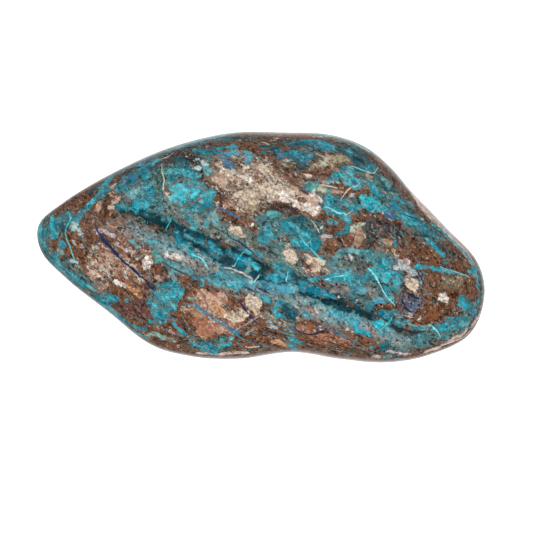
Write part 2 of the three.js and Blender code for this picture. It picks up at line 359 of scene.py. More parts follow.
    (Tint.SALMON_GRAIN, (8.3, -16.6, 1.2), (12.4, -18.1, 1.4), (17.4, -19.7, 1.2)),
    (Tint.DUSK_AND_SHADE, (-4.4, 21.8, 1), (0.1, 22.4, 0.8), (4.6, 22, 1), (8.9, 21.4, 1), (14.1, 21.6, 1)),
    (Tint.DARK_TEAL, (17.2, 19.9, 1.6), (21.1, 17, 1.6), (25.2, 13.8, 1.4), (28, 10.9, 1.2)),
    # Painted shade: very dark teal along the floor of the long groove.
    (Tint.PETROL_AND_SHADE, (-28.2, 8, 0.5), (-25, 6.8, 0.9), (-20.4, 5.1, 1), (-15.5, 2.5, 1.2), (-10.6, 0.2, 1.3),
     (-5.6, -2.1, 1.3), (-0.7, -4.5, 1.3), (3.4, -6.2, 1)),
)

# The clasts, with the painted highlight along the rim.
CLASTS_AND_RIM_SHEEN: tuple[Line, ...] = (
    # Upper left shoulder.
    (Tint.PINK_CREAM, (-30.1, 10.3, 0.33), (-29.5, 9, 0.4)),
    (Tint.LILAC, (-30.9, 12.3, 0.37), (-30.1, 12.9, 0.29)),
    (Tint.PINK_CREAM, (-33.4, 9, 0.4), (-33.6, 7.8, 0.37)),
    # Dark teal lenses on the back edge.
    (Tint.ICE, (-14.1, 16.2, 0.37), (-13, 16.4, 0.5)),
    (Tint.ICE, (-12.2, 17.7, 0.33), (-11.6, 16.8, 0.37)),
    (Tint.ICE, (-15.1, 18.7, 0.29)),
    (Tint.ICE, (-13.9, 17.9, 0.25), (-13, 18.1, 0.21)),
    # Cream grain field, west.
    (Tint.PALE_GREEN, (-6.5, 15.8, 0.31), (-4.8, 15.2, 0.4)),
    (Tint.PINK_CREAM, (-9.8, 13.8, 0.4), (-8.1, 13.1, 0.5)),
    (Tint.PINK_CREAM, (-7.5, 8.4, 0.6), (-6.7, 8.8, 0.33)),
    (Tint.CREAM, (-4.4, 10.9, 0.5), (-2.8, 11.3, 0.5), (-1.1, 10.9, 0.4)),
    (Tint.OLIVE_CREAM, (-3.2, 9.7, 0.8), (-2, 8.4, 0.7)),
    (Tint.CREAM, (-3.6, 16.2, 0.37), (-2.4, 16.6, 0.5)),
    (Tint.SHELL_AND_GLINT, (-8.9, 16.8, 0.25), (-7.7, 15.8, 0.29)),
    # Back edge, middle and east.
    (Tint.OLIVE_CREAM, (13.9, 18.5, 0.5), (15.3, 18.3, 0.7), (17.2, 18.3, 0.8), (18.2, 17.5, 0.4)),
    (Tint.TAN, (14.7, 16.4, 0.5), (15.7, 15.8, 0.4)),
    (Tint.PALE_GREEN, (9.8, 16.2, 0.33), (11.2, 16.6, 0.5)),
    (Tint.PALE_GREEN, (12.4, 17.3, 0.25), (14.5, 16.8, 0.29)),
    (Tint.CREAM, (8.5, 15.2, 0.37), (9.8, 14.6, 0.5)),
    (Tint.TAN, (6.1, 12.3, 0.5), (7.1, 12.1, 0.37)),
    (Tint.SHELL_AND_GLINT, (2, 9.9, 0.5), (3.8, 10.3, 0.9), (5.4, 9.7, 0.8)),
    (Tint.SHELL_AND_GLINT, (6.7, 8.8, 0.5), (8.5, 8, 0.7), (10.4, 8.4, 0.9), (11.8, 7.8, 0.7)),
    (Tint.LILAC, (10.6, 10.5, 0.7), (12, 9.7, 0.6)),
    (Tint.CREAM, (5, 11.7, 0.37), (6.3, 11.3, 0.33)),
    (Tint.PALE_GREEN, (10.2, 11.9, 0.5), (11.8, 12.3, 0.7), (13.2, 11.7, 0.6)),
    (Tint.PALE_CYAN, (12.2, 13.6, 0.27), (13.2, 13.1, 0.21), (15.7, 13.6, 0.27)),
    (Tint.ROSE, (14.7, 11.3, 0.37), (16.3, 11.3, 0.5)),
    (Tint.ICE, (18.4, 10.5, 0.29), (19.2, 10.7, 0.21)),
    (Tint.PINK_CREAM, (21.5, 15, 0.21), (22.3, 14.4, 0.33)),
    # Pale band inside the rim at the upper right: paler skin with a painted reflection of the white table.
    (Tint.PALE_SKIN_AND_RIM_SHEEN, (29.3, 13.1, 0.6), (30.9, 11.1, 1), (32.6, 9, 1.6), (34.2, 7, 1.8)),
    # Pointed end.
    (Tint.ICE, (-37.5, 3.5, 0.33), (-37.3, 2.7, 0.33)),
    (Tint.SEA_MIST, (-41.6, -0.6, 0.6), (-41, -1.2, 0.5)),
    (Tint.ICE, (-39.1, -2.9, 0.33), (-38.1, -3.1, 0.31)),
    (Tint.LILAC, (-36.9, 0, 0.4)),
    (Tint.LILAC, (-33.8, 0.2, 0.33), (-33, 0.6, 0.18)),
    # Pink grains under the navy vein.
    (Tint.PINK_CREAM, (-34.8, -2.9, 0.25), (-33.4, -3.7, 0.33), (-31.5, -3.3, 0.25)),
    (Tint.PINK_CREAM, (-32.6, -1, 0.18), (-30.9, -1.8, 0.25), (-29.5, -3.1, 0.18)),
    (Tint.PINK_CREAM, (-36, -5.3, 0.18), (-34.8, -6.2, 0.23), (-33.8, -7, 0.18)),
    (Tint.PINK_CREAM, (-33, -8.4, 0.37), (-31.7, -7.6, 0.29)),
    (Tint.PINK_CREAM, (-27.4, -5.3, 0.18), (-26.2, -6.4, 0.25), (-25, -7.4, 0.18)),
    (Tint.ICE, (-29.3, -7.2, 0.33), (-28.4, -7.8, 0.4)),
    (Tint.PEACH, (-27, -8.6, 0.29), (-25.4, -8.8, 0.33)),
    (Tint.LILAC, (-30.7, 1, 0.33), (-29.5, 0.6, 0.29)),
    (Tint.LILAC, (-28.2, -0.2, 0.27), (-27.4, -0.8, 0.29)),
    (Tint.SHELL_AND_GLINT, (-23.5, -2.1, 0.7), (-23.7, -3.3, 0.8), (-23.9, -4.3, 0.4)),
    (Tint.SHELL_AND_GLINT, (-22.7, -2.3, 0.4), (-22.5, -3.3, 0.29)),
    (Tint.SHELL_AND_GLINT, (-2.6, 4.5, 0.29), (-1.3, 4.7, 0.27)),
    (Tint.CREAM, (-5, 7.6, 0.37)),
    (Tint.CREAM, (-10.2, -3.9, 0.29), (-9.3, -4.7, 0.21)),
    (Tint.PINK_CREAM, (-21.7, -6, 0.37), (-20.8, -6.8, 0.29)),
    # Middle of the upper face.
    (Tint.CREAM, (8.9, -1.4, 0.29), (10.4, -2.3, 0.6), (12, -3.1, 0.5), (13.2, -3.5, 0.29)),
    (Tint.CREAM, (9.6, -3.3, 0.5), (11.8, -4.7, 0.4)),
    (Tint.LILAC, (7.7, -3.7, 0.33), (8.7, -4.3, 0.29)),
    (Tint.SHELL_AND_GLINT, (15.1, 0.6, 0.33)),
    (Tint.LILAC, (16.9, 1.2, 0.31)),
    (Tint.LILAC, (12.8, 2.3, 0.37), (14.3, 2.1, 0.27)),
    (Tint.ICE, (12, 3.9, 0.29), (12.6, 4.5, 0.16)),
    (Tint.PALE_GREEN, (17.6, 3.3, 0.27), (18.4, 3.9, 0.5), (19.6, 4.3, 0.29), (20.8, 4.7, 0.16)),
    (Tint.TAN, (20.2, 3.5, 0.5), (20, 1.8, 0.8), (19.6, 0.4, 0.6)),
    (Tint.ICE, (18.2, -1.8, 0.18), (18.8, -2.5, 0.18)),
    # Blunt end.
    (Tint.SHELL_AND_GLINT, (23.5, 7.6, 0.16), (24.8, 7, 0.21), (26.4, 6.8, 0.16)),
    (Tint.TAN, (24.8, 1.2, 0.5), (26.4, 1, 0.5)),
    (Tint.PEACH, (26, -0.8, 0.25), (27.2, -0.6, 0.31)),
    (Tint.ICE, (26.8, -1.6, 0.25), (27.8, -1.8, 0.21)),
    (Tint.LILAC, (28.7, -2.9, 0.4), (30.1, -3.1, 0.5)),
    (Tint.LILAC, (29.9, -6, 0.4), (30.9, -6.6, 0.33)),
    # Pale band along the rim of the blunt end: paler skin with a painted reflection of the white table.
    (Tint.PALE_SKIN_AND_RIM_SHEEN, (33.4, 7.8, 1.8), (35.4, 5.8, 1.8), (37.5, 3.7, 1.6), (39.5, 1.4, 1.6),
     (41.6, -0.8, 1.4), (43.4, -3.3, 0.8)),
    # Maroon patch and the front edge, west.
    (Tint.SEA_MIST, (-23.1, -17.9, 0.33), (-21.7, -17.7, 0.5), (-20.4, -18.7, 0.5)),
    (Tint.SEA_MIST, (-19.6, -18.7, 0.5), (-18, -19.3, 0.31)),
    (Tint.ROSE, (-19, -17.3, 0.25), (-17.6, -17.9, 0.27)),
    # Peach clasts.
    (Tint.PINK_CREAM, (-8.5, -10.1, 0.7), (-7.5, -10.7, 0.4)),
    (Tint.PEACH, (-13.2, -17.5, 0.37), (-12, -18.5, 0.5)),
    (Tint.SEA_MIST, (-14.9, -10.7, 0.31), (-13.5, -10.5, 0.23)),
    (Tint.CREAM, (-2.6, -11.7, 0.5), (-1.5, -12.7, 0.8), (-0.9, -13.6, 0.5)),
    (Tint.ASH, (-3.4, -18.1, 0.21), (-1.5, -16.8, 0.25)),
    (Tint.CREAM, (-3.2, -20.5, 0.14), (-0.7, -20.5, 0.16)),
    (Tint.PEACH, (2.2, -19.3, 0.5), (3.8, -19.7, 0.7), (5, -20.3, 0.4)),
    # Blunt end, front.
    (Tint.CREAM, (31.1, -8.8, 0.6)),
    (Tint.SHELL_AND_GLINT, (32.4, -14.8, 0.37)),
    (Tint.LILAC, (25.8, -21.4, 0.33), (27.2, -21.6, 0.29), (28.7, -21.8, 0.25), (30.3, -22, 0.18)),
    # Second pass.
    (Tint.CREAM, (5.2, -0.6, 0.6), (6.1, -1.8, 1.1), (6.7, -2.7, 0.6)),
    (Tint.SHELL_AND_GLINT, (-20, -1.4, 0.4), (-18.4, -1.8, 0.7), (-16.3, -2.3, 0.4)),
    (Tint.LILAC, (-33.6, 3.1, 0.33), (-31.9, 3.1, 0.5), (-30.3, 2.3, 0.4)),
    (Tint.ICE, (27.2, -4.3, 0.4), (28.9, -3.7, 0.6), (30.5, -4.7, 0.7), (32.1, -5.5, 0.4)),
    (Tint.CREAM, (30.1, -7.2, 0.7), (31.3, -8, 0.9)),
    (Tint.SHELL_AND_GLINT, (36.7, -10.3, 0.6), (37.9, -10.7, 0.7)),
    (Tint.LILAC, (23.1, -22.4, 0.5), (24.3, -22.6, 0.4)),
    (Tint.ICE, (1.3, -15.4, 0.33), (3, -16.6, 0.29)),
    # Third pass.
    (Tint.CREAM, (-6.3, 3.7, 0.6), (-5, 3.3, 1), (-4, 2.5, 0.6)),
    (Tint.CREAM, (0.1, 12.1, 0.5), (1.7, 11.5, 0.8), (3.4, 10.7, 0.8)),
    (Tint.SHELL_AND_GLINT, (3.8, 11.1, 0.6), (5.4, 10.5, 0.7), (7.1, 9.4, 0.6)),
    (Tint.SHELL_AND_GLINT, (8.3, 8.4, 0.6), (10.2, 7.6, 0.7), (11.8, 7, 0.4)),
    (Tint.PINK_CREAM, (7.5, 11.1, 0.4), (9.6, 9.9, 0.6), (11, 8.8, 0.5)),
    (Tint.SHELL_AND_GLINT, (10.4, 10.5, 0.5), (12, 9.7, 0.6)),
    (Tint.CREAM, (-3.2, 10.5, 0.7), (-1.5, 9.2, 0.6)),
    (Tint.CREAM, (-8.1, 15.4, 0.5), (-6.1, 14.2, 0.6)),
    (Tint.SHELL_AND_GLINT, (-4.4, 14.6, 0.33), (-2.4, 13.8, 0.5)),
    (Tint.CREAM, (-0.3, 16.6, 0.5), (1.3, 15.4, 0.5)),
    (Tint.PINK_CREAM, (-12, -9.4, 0.8), (-10.4, -11.1, 1.2), (-11.2, -13.4, 1)),
    (Tint.TAN, (-13.5, -12.1, 0.6), (-12.6, -14.2, 0.8)),
    (Tint.SALMON, (-12.6, -15.8, 1), (-11, -17.3, 1.2)),
    (Tint.PINK_CREAM, (-8.7, -16.8, 0.8), (-6.3, -16.2, 0.7)),
    (Tint.CREAM, (-7.3, -14, 0.8), (-5.2, -14.6, 1.2), (-3.4, -13.6, 0.8)),
    (Tint.CREAM, (-2.2, -10.7, 1), (-0.7, -11.5, 0.9)),
    (Tint.CREAM, (-35.2, -4.9, 0.18), (-33.8, -5.8, 0.25), (-32.6, -6.6, 0.16)),
    (Tint.PEACH, (-27.8, -8, 0.21), (-26.4, -9.2, 0.29), (-24.8, -10.3, 0.21)),
    (Tint.SHELL_AND_GLINT, (-30.1, -7, 0.4), (-29.1, -7.6, 0.5)),
    # Top edge, darker.
    # Pale band along the rim at the front: paler skin with a painted highlight.
    (Tint.PALE_SKIN_AND_RIM_SHEEN, (33.6, -21.6, 0.5), (36.3, -20.7, 0.7)),
    (Tint.PALE_SKIN_AND_RIM_SHEEN, (37.3, -20.1, 0.6), (40, -18.7, 0.7), (42, -17.3, 0.5)),
    (Tint.PALE_SKIN_AND_RIM_SHEEN, (43.2, -16.2, 0.5), (44.7, -14, 0.4)),
    (Tint.PALE_SKIN_AND_RIM_SHEEN, (-12.6, -21.8, 0.5), (-8.1, -22, 0.6), (-3.2, -21.8, 0.5)),
    (Tint.PEACH, (-9.8, -11.9, 0.6), (-8.1, -13.4, 0.8), (-9.3, -14.6, 0.5)),
)

# The copper masses, with painted shade along the groove floors.
COPPER_AND_GROOVE_SHADE: tuple[Line, ...] = (
    # Painted shade: very dark teal along the floors of the long and the short groove.
    (Tint.PETROL_AND_SHADE, (-28.7, 8, 0.8), (-25, 6.8, 1.2), (-20.4, 5.1, 1.2), (-15.5, 2.5, 1.4), (-10.6, 0.2, 1.6),
     (-5.6, -2.3, 1.6), (-0.7, -4.7, 1.6), (3.8, -6.4, 1.4)),
    (Tint.PETROL_AND_SHADE, (8.3, -9, 0.7), (13, -10.5, 1), (18.2, -12.5, 1), (20.6, -13.6, 0.6)),
    # Rim and the upper part of the sides.
    (Tint.TEAL, (-34, -10.5, 0.7), (-30.9, -13.1, 0.9), (-27.8, -15.6, 0.8)),
    (Tint.TEAL, (-42.6, -3.1, 0.6), (-39.7, -5.5, 0.9), (-36.9, -8, 0.6)),
    (Tint.CYAN, (-45.3, 4.7, 0.5), (-45.7, 2.7, 0.6), (-45.1, 0.2, 0.6)),
    (Tint.DEEP_TEAL, (-29.5, 15.4, 0.6), (-25, 17.7, 0.8), (-21.3, 19.1, 0.7)),
    (Tint.TEAL, (-17.6, 20.3, 0.7), (-12.6, 22, 0.9), (-8.1, 23, 0.8)),
    (Tint.DEEP_BLUE, (-6.9, 23.4, 0.5), (-4.4, 23.6, 0.5)),
    (Tint.TEAL, (46.1, -10.5, 0.7), (46.1, -13.4, 0.8)),
    (Tint.BLUE_CYAN, (26.4, -23.8, 0.7), (29.7, -23.4, 0.7)),
    (Tint.TEAL, (-17.6, -21.8, 0.6), (-14.7, -22.4, 0.6)),
    # Upper left shoulder.
    (Tint.CYAN, (-31.1, 14.2, 0.29), (-32.6, 12.1, 0.37), (-33.8, 10.5, 0.31), (-35, 9, 0.37),
     (-36.5, 7.6, 0.29)),
    (Tint.TEAL, (-32.6, 11.9, 0.4), (-31.5, 11.7, 0.4)),
    (Tint.TEAL, (-33.6, 10.3, 0.25), (-32.6, 10.7, 0.33)),
    (Tint.DEEP_TEAL, (-35, 11.5, 0.33), (-33.6, 12.3, 0.29)),
    (Tint.TEAL, (-29.7, 11.9, 0.6), (-28.4, 12.3, 0.7), (-27.6, 12.1, 0.4)),
    (Tint.TEAL, (-29.7, 8.2, 0.5), (-28.4, 8.4, 0.8), (-27.6, 7.8, 0.6)),
    (Tint.DEEP_BLUE, (-28.4, 13.6, 0.6), (-27.2, 13.8, 0.7), (-26.2, 13.6, 0.4)),
    (Tint.TEAL, (-25.2, 15.6, 0.6), (-24.1, 15.6, 0.6)),
    (Tint.TEAL, (-23.5, 14.8, 0.6), (-24.1, 13.4, 0.7)),
    (Tint.VIVID, (-25.4, 17, 0.33), (-24.1, 17, 0.5), (-22.7, 16.8, 0.5)),
    (Tint.CYAN, (-26.6, 7.8, 0.8), (-25.4, 8.6, 1), (-23.9, 9, 0.9)),
    (Tint.PALE_TEAL, (-26.4, 10.9, 0.8), (-24.8, 11.7, 0.8)),
    (Tint.CYAN, (-23.5, 12.1, 0.6), (-22.7, 11.3, 0.6)),
    # Bright wedge and its veins.
    (Tint.BRIGHT_CYAN, (-18.6, 9.9, 0.4), (-17.6, 9.9, 0.9), (-16.3, 9.9, 1)),
    (Tint.CYAN, (-18.2, 13.8, 0.4), (-19.2, 13.4, 0.29)),
    (Tint.TEAL, (-18.6, 15.6, 0.6), (-16.7, 15.4, 0.7), (-14.7, 15.2, 0.7), (-13, 14.6, 0.37)),
    (Tint.TEAL, (-15.1, 13.6, 0.33), (-13.2, 12.9, 0.6), (-11.8, 12.3, 0.29)),
    (Tint.TEAL, (-13.9, 8.4, 1), (-12, 8.8, 1.1), (-10.6, 8, 0.8)),
    (Tint.DEEP_TEAL, (-17.8, 18.1, 0.27), (-16.3, 16.2, 0.33)),
    (Tint.DEEP_TEAL, (-16.9, 18.5, 0.25), (-15.3, 16.6, 0.29)),
    (Tint.TEAL, (-22.5, 17.7, 0.33), (-20.8, 17.9, 0.4)),
    (Tint.TEAL, (-23.9, 10.5, 0.6), (-22.7, 9.7, 0.6)),
    # Dark teal lenses on the back edge.
    (Tint.TEAL, (-13.7, 19.9, 0.5), (-11.8, 19.5, 0.7), (-10.2, 19.9, 0.4)),
    (Tint.VIVID, (-6.9, 20.5, 0.4), (-5.6, 20.7, 0.6)),
    (Tint.PALE_TEAL, (-11.6, 22.2, 0.25), (-10, 22.4, 0.33)),
    (Tint.CYAN, (-9.8, 19.1, 0.21), (-8.5, 19.5, 0.27)),
    (Tint.CYAN, (-9.8, 20.3, 0.16), (-8.1, 20.3, 0.16)),
    (Tint.PALE_TEAL, (-11.6, 16.2, 0.25), (-10.6, 15.2, 0.31)),
    # Cream grain field, west.
    (Tint.DENIM, (-7.3, 17.3, 0.4), (-6.5, 16.8, 0.5), (-5.9, 16.2, 0.33)),
    (Tint.BLUE_CYAN, (-6.7, 19.3, 0.29), (-5.2, 19.5, 0.4)),
    (Tint.BLUE_CYAN, (-3.4, 19.7, 0.29), (-2.6, 18.7, 0.5), (-2.8, 17.3, 0.33)),
    (Tint.DEEP_BLUE, (-8.1, 18.5, 0.33), (-7.3, 18.3, 0.33)),
    # Back edge, middle and east.
    (Tint.TEAL, (11.6, 20.7, 0.5), (13.7, 20.3, 0.8), (14.9, 20.5, 0.5)),
    (Tint.PALE_TEAL, (11.6, 22.6, 0.37), (14.1, 22.8, 0.4), (16.5, 22.4, 0.5), (18.8, 21.4, 0.4),
     (20.4, 20.5, 0.4), (22.1, 19.7, 0.33)),
    (Tint.TEAL, (5.4, 19.3, 0.5), (7.5, 19.3, 0.6), (9.6, 18.9, 0.7)),
    (Tint.DEEP_TEAL, (7.5, 17.9, 0.6), (8.5, 17, 0.5), (7.9, 16, 0.37)),
    (Tint.DEEP_BLUE, (3.2, 19.9, 0.4), (4, 18.5, 0.5)),
    (Tint.TEAL, (17.6, 19.5, 0.5), (18.8, 20.1, 0.6)),
    (Tint.TEAL, (0.7, 19.5, 0.21)),
    (Tint.SEA_GREEN, (9.3, 12.7, 0.5), (11, 12.9, 0.37)),
    (Tint.CYAN, (9.3, 11.9, 0.31)),
    (Tint.SEA_GREEN, (13.9, 11.7, 0.29), (14.1, 10.5, 0.37)),
    (Tint.TEAL, (13.9, 13.8, 0.33), (15.1, 14.4, 0.4)),
    (Tint.CYAN, (16.9, 16.2, 0.4), (18.6, 16.2, 0.7), (18.4, 15, 0.37)),
    (Tint.TEAL, (15.7, 14.8, 0.5), (17.2, 14.4, 0.4)),
    (Tint.BLUE_CYAN, (17.4, 13.1, 0.29), (18.6, 13.4, 0.33), (19.8, 13.6, 0.21)),
    (Tint.BLUE_CYAN, (18.8, 12.1, 0.25), (20, 12.3, 0.37)),
    (Tint.PALE_TEAL, (20.6, 13.1, 0.27), (22.1, 13.6, 0.29)),
    (Tint.BRIGHT_CYAN, (20.6, 10.1, 0.4), (21.9, 9, 0.7)),
    (Tint.CYAN, (13, 8, 0.29), (13.7, 8.6, 0.5)),
    (Tint.CYAN, (14.1, 7.4, 0.4), (16.1, 7.2, 0.4)),
    (Tint.TEAL, (14.1, 9.9, 0.5), (15.7, 9.4, 0.6), (17.4, 9, 0.37)),
    (Tint.TEAL, (18.2, 8.2, 0.37), (19.8, 8.2, 0.4)),
    (Tint.TEAL, (22.3, 16.4, 0.7), (23.3, 16.4, 0.5)),
    (Tint.PALE_TEAL, (25, 14, 0.33), (26.2, 13.1, 0.5), (25.8, 12.3, 0.37)),
    (Tint.TEAL, (22.5, 12.9, 0.33), (23.5, 11.7, 0.37), (24.8, 10.5, 0.33)),
    (Tint.CYAN, (22.7, 11.9, 0.21), (23.9, 10.7, 0.25)),
    (Tint.BRIGHT_CYAN, (22.3, 9.9, 0.5), (23.7, 9, 0.6)),
    (Tint.CYAN, (21.1, 8.8, 0.6), (22.9, 8.2, 0.9)),
    (Tint.CYAN, (27.4, 10.5, 0.25), (28.9, 9.4, 0.31)),
    (Tint.VIVID, (26.4, 9, 0.33), (27.8, 8.2, 0.5)),
    (Tint.PALE_TEAL, (29.5, 9.4, 0.27), (30.7, 8.8, 0.29)),
    # Pointed end.
    (Tint.TEAL, (-42, 5.1, 0.7), (-40.8, 5.3, 1.1), (-39.7, 5.8, 0.7)),
    (Tint.DEEP_TEAL, (-41.4, 4.7, 0.5), (-40.6, 3.9, 0.5)),
    (Tint.BRIGHT_CYAN, (-43, 6.4, 0.33), (-43.2, 4.3, 0.4), (-42.8, 2.3, 0.5)),
    (Tint.CYAN, (-42.2, 3.1, 0.5), (-42.6, 1.8, 0.33)),
    (Tint.TEAL, (-44.3, 3.5, 0.37), (-44.9, 1.4, 0.4), (-44.5, -0.2, 0.33)),
    (Tint.CYAN, (-41.4, 0.8, 0.4), (-41, 0.4, 0.5)),
    (Tint.TEAL, (-42.2, -1.6, 0.5), (-42.8, -2.7, 0.5)),
    (Tint.PALE_CYAN, (-38.3, 5.1, 0.18), (-38.5, 3.7, 0.31)),
    (Tint.CYAN, (-36.5, 7.6, 0.25), (-37.5, 6.4, 0.23), (-38.1, 5.3, 0.16)),
    (Tint.CYAN, (-42.4, -3.7, 0.21), (-41, -4.9, 0.31), (-39.3, -5.5, 0.4), (-38.3, -6.2, 0.31)),
    (Tint.CYAN, (-37.3, -6.8, 0.18), (-35.6, -8, 0.21), (-34.2, -9, 0.23)),
    (Tint.PALE_TEAL, (-26.6, 1.2, 0.21), (-25.4, 0, 0.21)),
    # Long groove, upper wall.
    (Tint.PALE_TEAL, (-3.8, -4.3, 0.37), (-2.6, -4.9, 0.29)),
    (Tint.PALE_TEAL, (-16.1, 7.6, 0.5), (-15.3, 6.4, 0.6), (-14.5, 5.3, 0.29)),
    (Tint.BLUE_CYAN, (-13.9, 4.5, 0.37), (-14.3, 3.7, 0.29)),
    (Tint.BLUE_CYAN, (-11.2, 5.1, 0.4), (-11.8, 4.3, 0.25)),
    (Tint.PALE_TEAL, (-10, 6.6, 0.4), (-9.3, 5.5, 0.5)),
    (Tint.BLUE_CYAN, (-4.4, -0.2, 0.33), (-2.8, -1, 0.4)),
    # Long groove, lower wall.
    (Tint.TEAL, (-17.4, 0.6, 0.37), (-15.7, 0.8, 0.5)),
    (Tint.CYAN, (-15.1, 0.2, 0.27), (-14.7, -0.8, 0.5), (-14.1, -1.6, 0.31)),
    (Tint.CYAN, (-12.8, -2.3, 0.25), (-11.8, -3.3, 0.35)),
    (Tint.SEA_GREEN, (-22.1, -1, 0.6), (-21.3, -2.3, 0.6)),
    (Tint.DUSTY_TEAL, (-19.2, -3.5, 0.5), (-17.6, -4.3, 0.6), (-15.9, -4.7, 0.6), (-14.7, -5.3, 0.37)),
    (Tint.PALE_TEAL, (-18.6, -5.1, 0.25), (-18, -6.6, 0.31)),
    (Tint.DEEP_BLUE, (-13.7, -6.4, 0.25), (-11.8, -6, 0.31), (-10.6, -6, 0.21)),
    (Tint.CYAN, (-11.2, -6.2, 0.18), (-10.2, -7, 0.37), (-8.9, -7.6, 0.31)),
    (Tint.TEAL, (-12.2, -7.4, 0.37)),
    (Tint.CYAN, (-7.1, -6, 0.5), (-6.1, -7, 0.9), (-4.8, -7.6, 0.9)),
    (Tint.TEAL, (-9.6, -6, 0.5), (-8.1, -5.1, 0.37)),
    (Tint.BLUE_CYAN, (-3.2, -7.4, 0.7), (-2, -7.8, 0.6)),
    (Tint.TEAL, (-22.9, 1.2, 0.37), (-21.9, 0.8, 0.31)),
    # Middle of the upper face.
    (Tint.SEA_GREEN, (1.5, 6.8, 0.5), (3.4, 6.8, 0.37)),
    (Tint.DEEP_TEAL, (6.3, 5.3, 0.5), (8.5, 5.8, 0.6)),
    (Tint.TEAL, (7.1, 1.2, 0.7), (8.3, 0.2, 0.7), (8.9, 2.3, 0.9)),
    (Tint.TEAL, (10, 0.6, 0.6), (11.2, 1.2, 0.8), (11.2, 0, 0.5)),
    (Tint.DEEP_TEAL, (10.2, 2.3, 0.4), (11.6, 2.9, 0.37)),
    (Tint.TEAL, (-0.3, 1.8, 0.5), (1.3, 1.4, 0.7)),
    (Tint.CYAN, (1.1, 4.1, 0.4)),
    (Tint.TEAL, (2.4, 2.3, 0.33), (3.4, 2.5, 0.25)),
    (Tint.TEAL, (14.1, 5.3, 0.5), (15.3, 5.1, 0.33)),
    (Tint.TEAL, (16.7, 6.6, 0.33), (17.8, 5.3, 0.5), (17.6, 3.7, 0.37), (15.9, 2.7, 0.27)),
    (Tint.BLUE_CYAN, (-0.9, -1.2, 0.6), (0.1, -1.6, 0.5)),
    # Where the long groove runs out, and the ridge between the grooves.
    (Tint.GROOVE_BLUE, (3, -4.7, 0.6), (4.2, -6.2, 0.8), (5.4, -6.4, 0.5)),
    (Tint.TEAL, (3, -3.5, 0.37), (4.6, -4.3, 0.5), (6.1, -5.1, 0.4)),
    # Painted shade where the long groove runs out.
    (Tint.PETROL_AND_SHADE, (7.5, -6.4, 0.5), (9.1, -6.4, 0.37)),
    (Tint.BLUE_CYAN, (-0.1, -7.6, 0.5), (1.7, -8, 0.5)),
    (Tint.BLUE_CYAN, (4.6, -8.4, 0.7), (6.3, -8.6, 0.8)),
    (Tint.PALE_TEAL, (14.7, -3.5, 0.25), (15.3, -1.6, 0.31), (16.5, -0.8, 0.31), (18.2, -0.6, 0.31),
     (19.8, -1, 0.31), (21.7, -1, 0.25)),
    (Tint.PALE_TEAL, (16.3, -4.7, 0.5), (18, -5.1, 0.5)),
    (Tint.BLUE_CYAN, (19, -8.2, 0.8), (20.6, -9, 0.7)),
    # Blunt end.
    (Tint.TEAL, (22.5, 7.8, 0.5), (24.3, 8, 0.5), (26.6, 7.8, 0.33)),
    (Tint.DENIM, (25.6, 6.4, 0.33), (27, 6.2, 0.4)),
    (Tint.BRIGHT_CYAN, (27.8, 6.2, 0.25), (29.3, 6, 0.37), (30.7, 4.9, 0.5), (31.9, 4.7, 0.37)),
    (Tint.TEAL, (32.4, 3.9, 0.33), (33.8, 3.3, 0.35), (35, 2.7, 0.33), (36.3, 2.1, 0.21)),
    (Tint.CYAN, (35.2, 4.5, 0.25), (37.1, 3.3, 0.33), (38.7, 1.6, 0.37), (40.4, 0, 0.33), (42, -1.6, 0.29),
     (43.2, -3.1, 0.29), (44.1, -4.3, 0.25)),
    (Tint.PALE_TEAL, (43.6, -4.7, 0.33), (44.1, -6.2, 0.37), (44.5, -7.8, 0.37)),
    (Tint.CYAN, (42.6, -5.1, 0.25), (44.1, -4.5, 0.21)),
    (Tint.TEAL, (23.5, -3.1, 0.5), (25.6, -3.1, 0.7)),
    (Tint.PALE_TEAL, (22.3, -2.1, 0.5), (23.5, -1.8, 0.33)),
    (Tint.BRIGHT_CYAN, (22.5, -4.9, 0.25), (24.3, -5.3, 0.5), (26, -5.1, 0.5)),
    (Tint.CYAN, (25, -6.2, 0.37), (25.6, -7, 0.27)),
    (Tint.CYAN, (27.2, -5.3, 0.29), (27.8, -6.8, 0.5), (28, -8.2, 0.5)),
    (Tint.TEAL, (21.5, -6, 0.31), (23.1, -6.4, 0.25)),
    # Maroon patch and the front edge, west.
    (Tint.TEAL, (-32.6, -10.7, 0.4), (-31.5, -10.5, 0.6), (-29.9, -10.5, 0.4)),
    (Tint.PALE_TEAL, (-32.4, -12.1, 0.29), (-31.1, -12.7, 0.27), (-29.7, -14, 0.18)),
    (Tint.CYAN, (-27.8, -11.1, 0.27)),
    (Tint.TEAL, (-26.2, -16.2, 0.29), (-25.2, -16.8, 0.5), (-23.9, -16.8, 0.37)),
    (Tint.CYAN, (-25.8, -17.5, 0.4), (-24.5, -18.3, 0.37), (-23.5, -18.7, 0.21)),
    (Tint.TEAL, (-20, -8.4, 0.6), (-17.8, -8.2, 0.7), (-16.3, -8.6, 0.33)),
    (Tint.CYAN, (-20.8, -10.3, 0.6), (-19, -10.5, 1.1), (-17.2, -9.7, 0.9)),
    (Tint.CYAN, (-18.4, -11.7, 0.7), (-18.2, -12.7, 0.4)),
    (Tint.BRIGHT_CYAN, (-19.6, -10.1, 0.5), (-18, -10.3, 0.6)),
    (Tint.TEAL, (-23.1, -11.5, 0.33), (-22.1, -12.3, 0.6), (-21.3, -13.6, 0.6), (-20.8, -15, 0.6)),
    (Tint.CYAN, (-22.1, -13.4, 0.37), (-21.1, -14.6, 0.5)),
    (Tint.TEAL, (-19.6, -13.1, 0.5), (-20, -15.4, 0.37)),
    (Tint.PALE_TEAL, (-19.2, -14.2, 0.29), (-18.4, -14.8, 0.25)),
    (Tint.CYAN, (-22.9, -15.4, 0.27)),
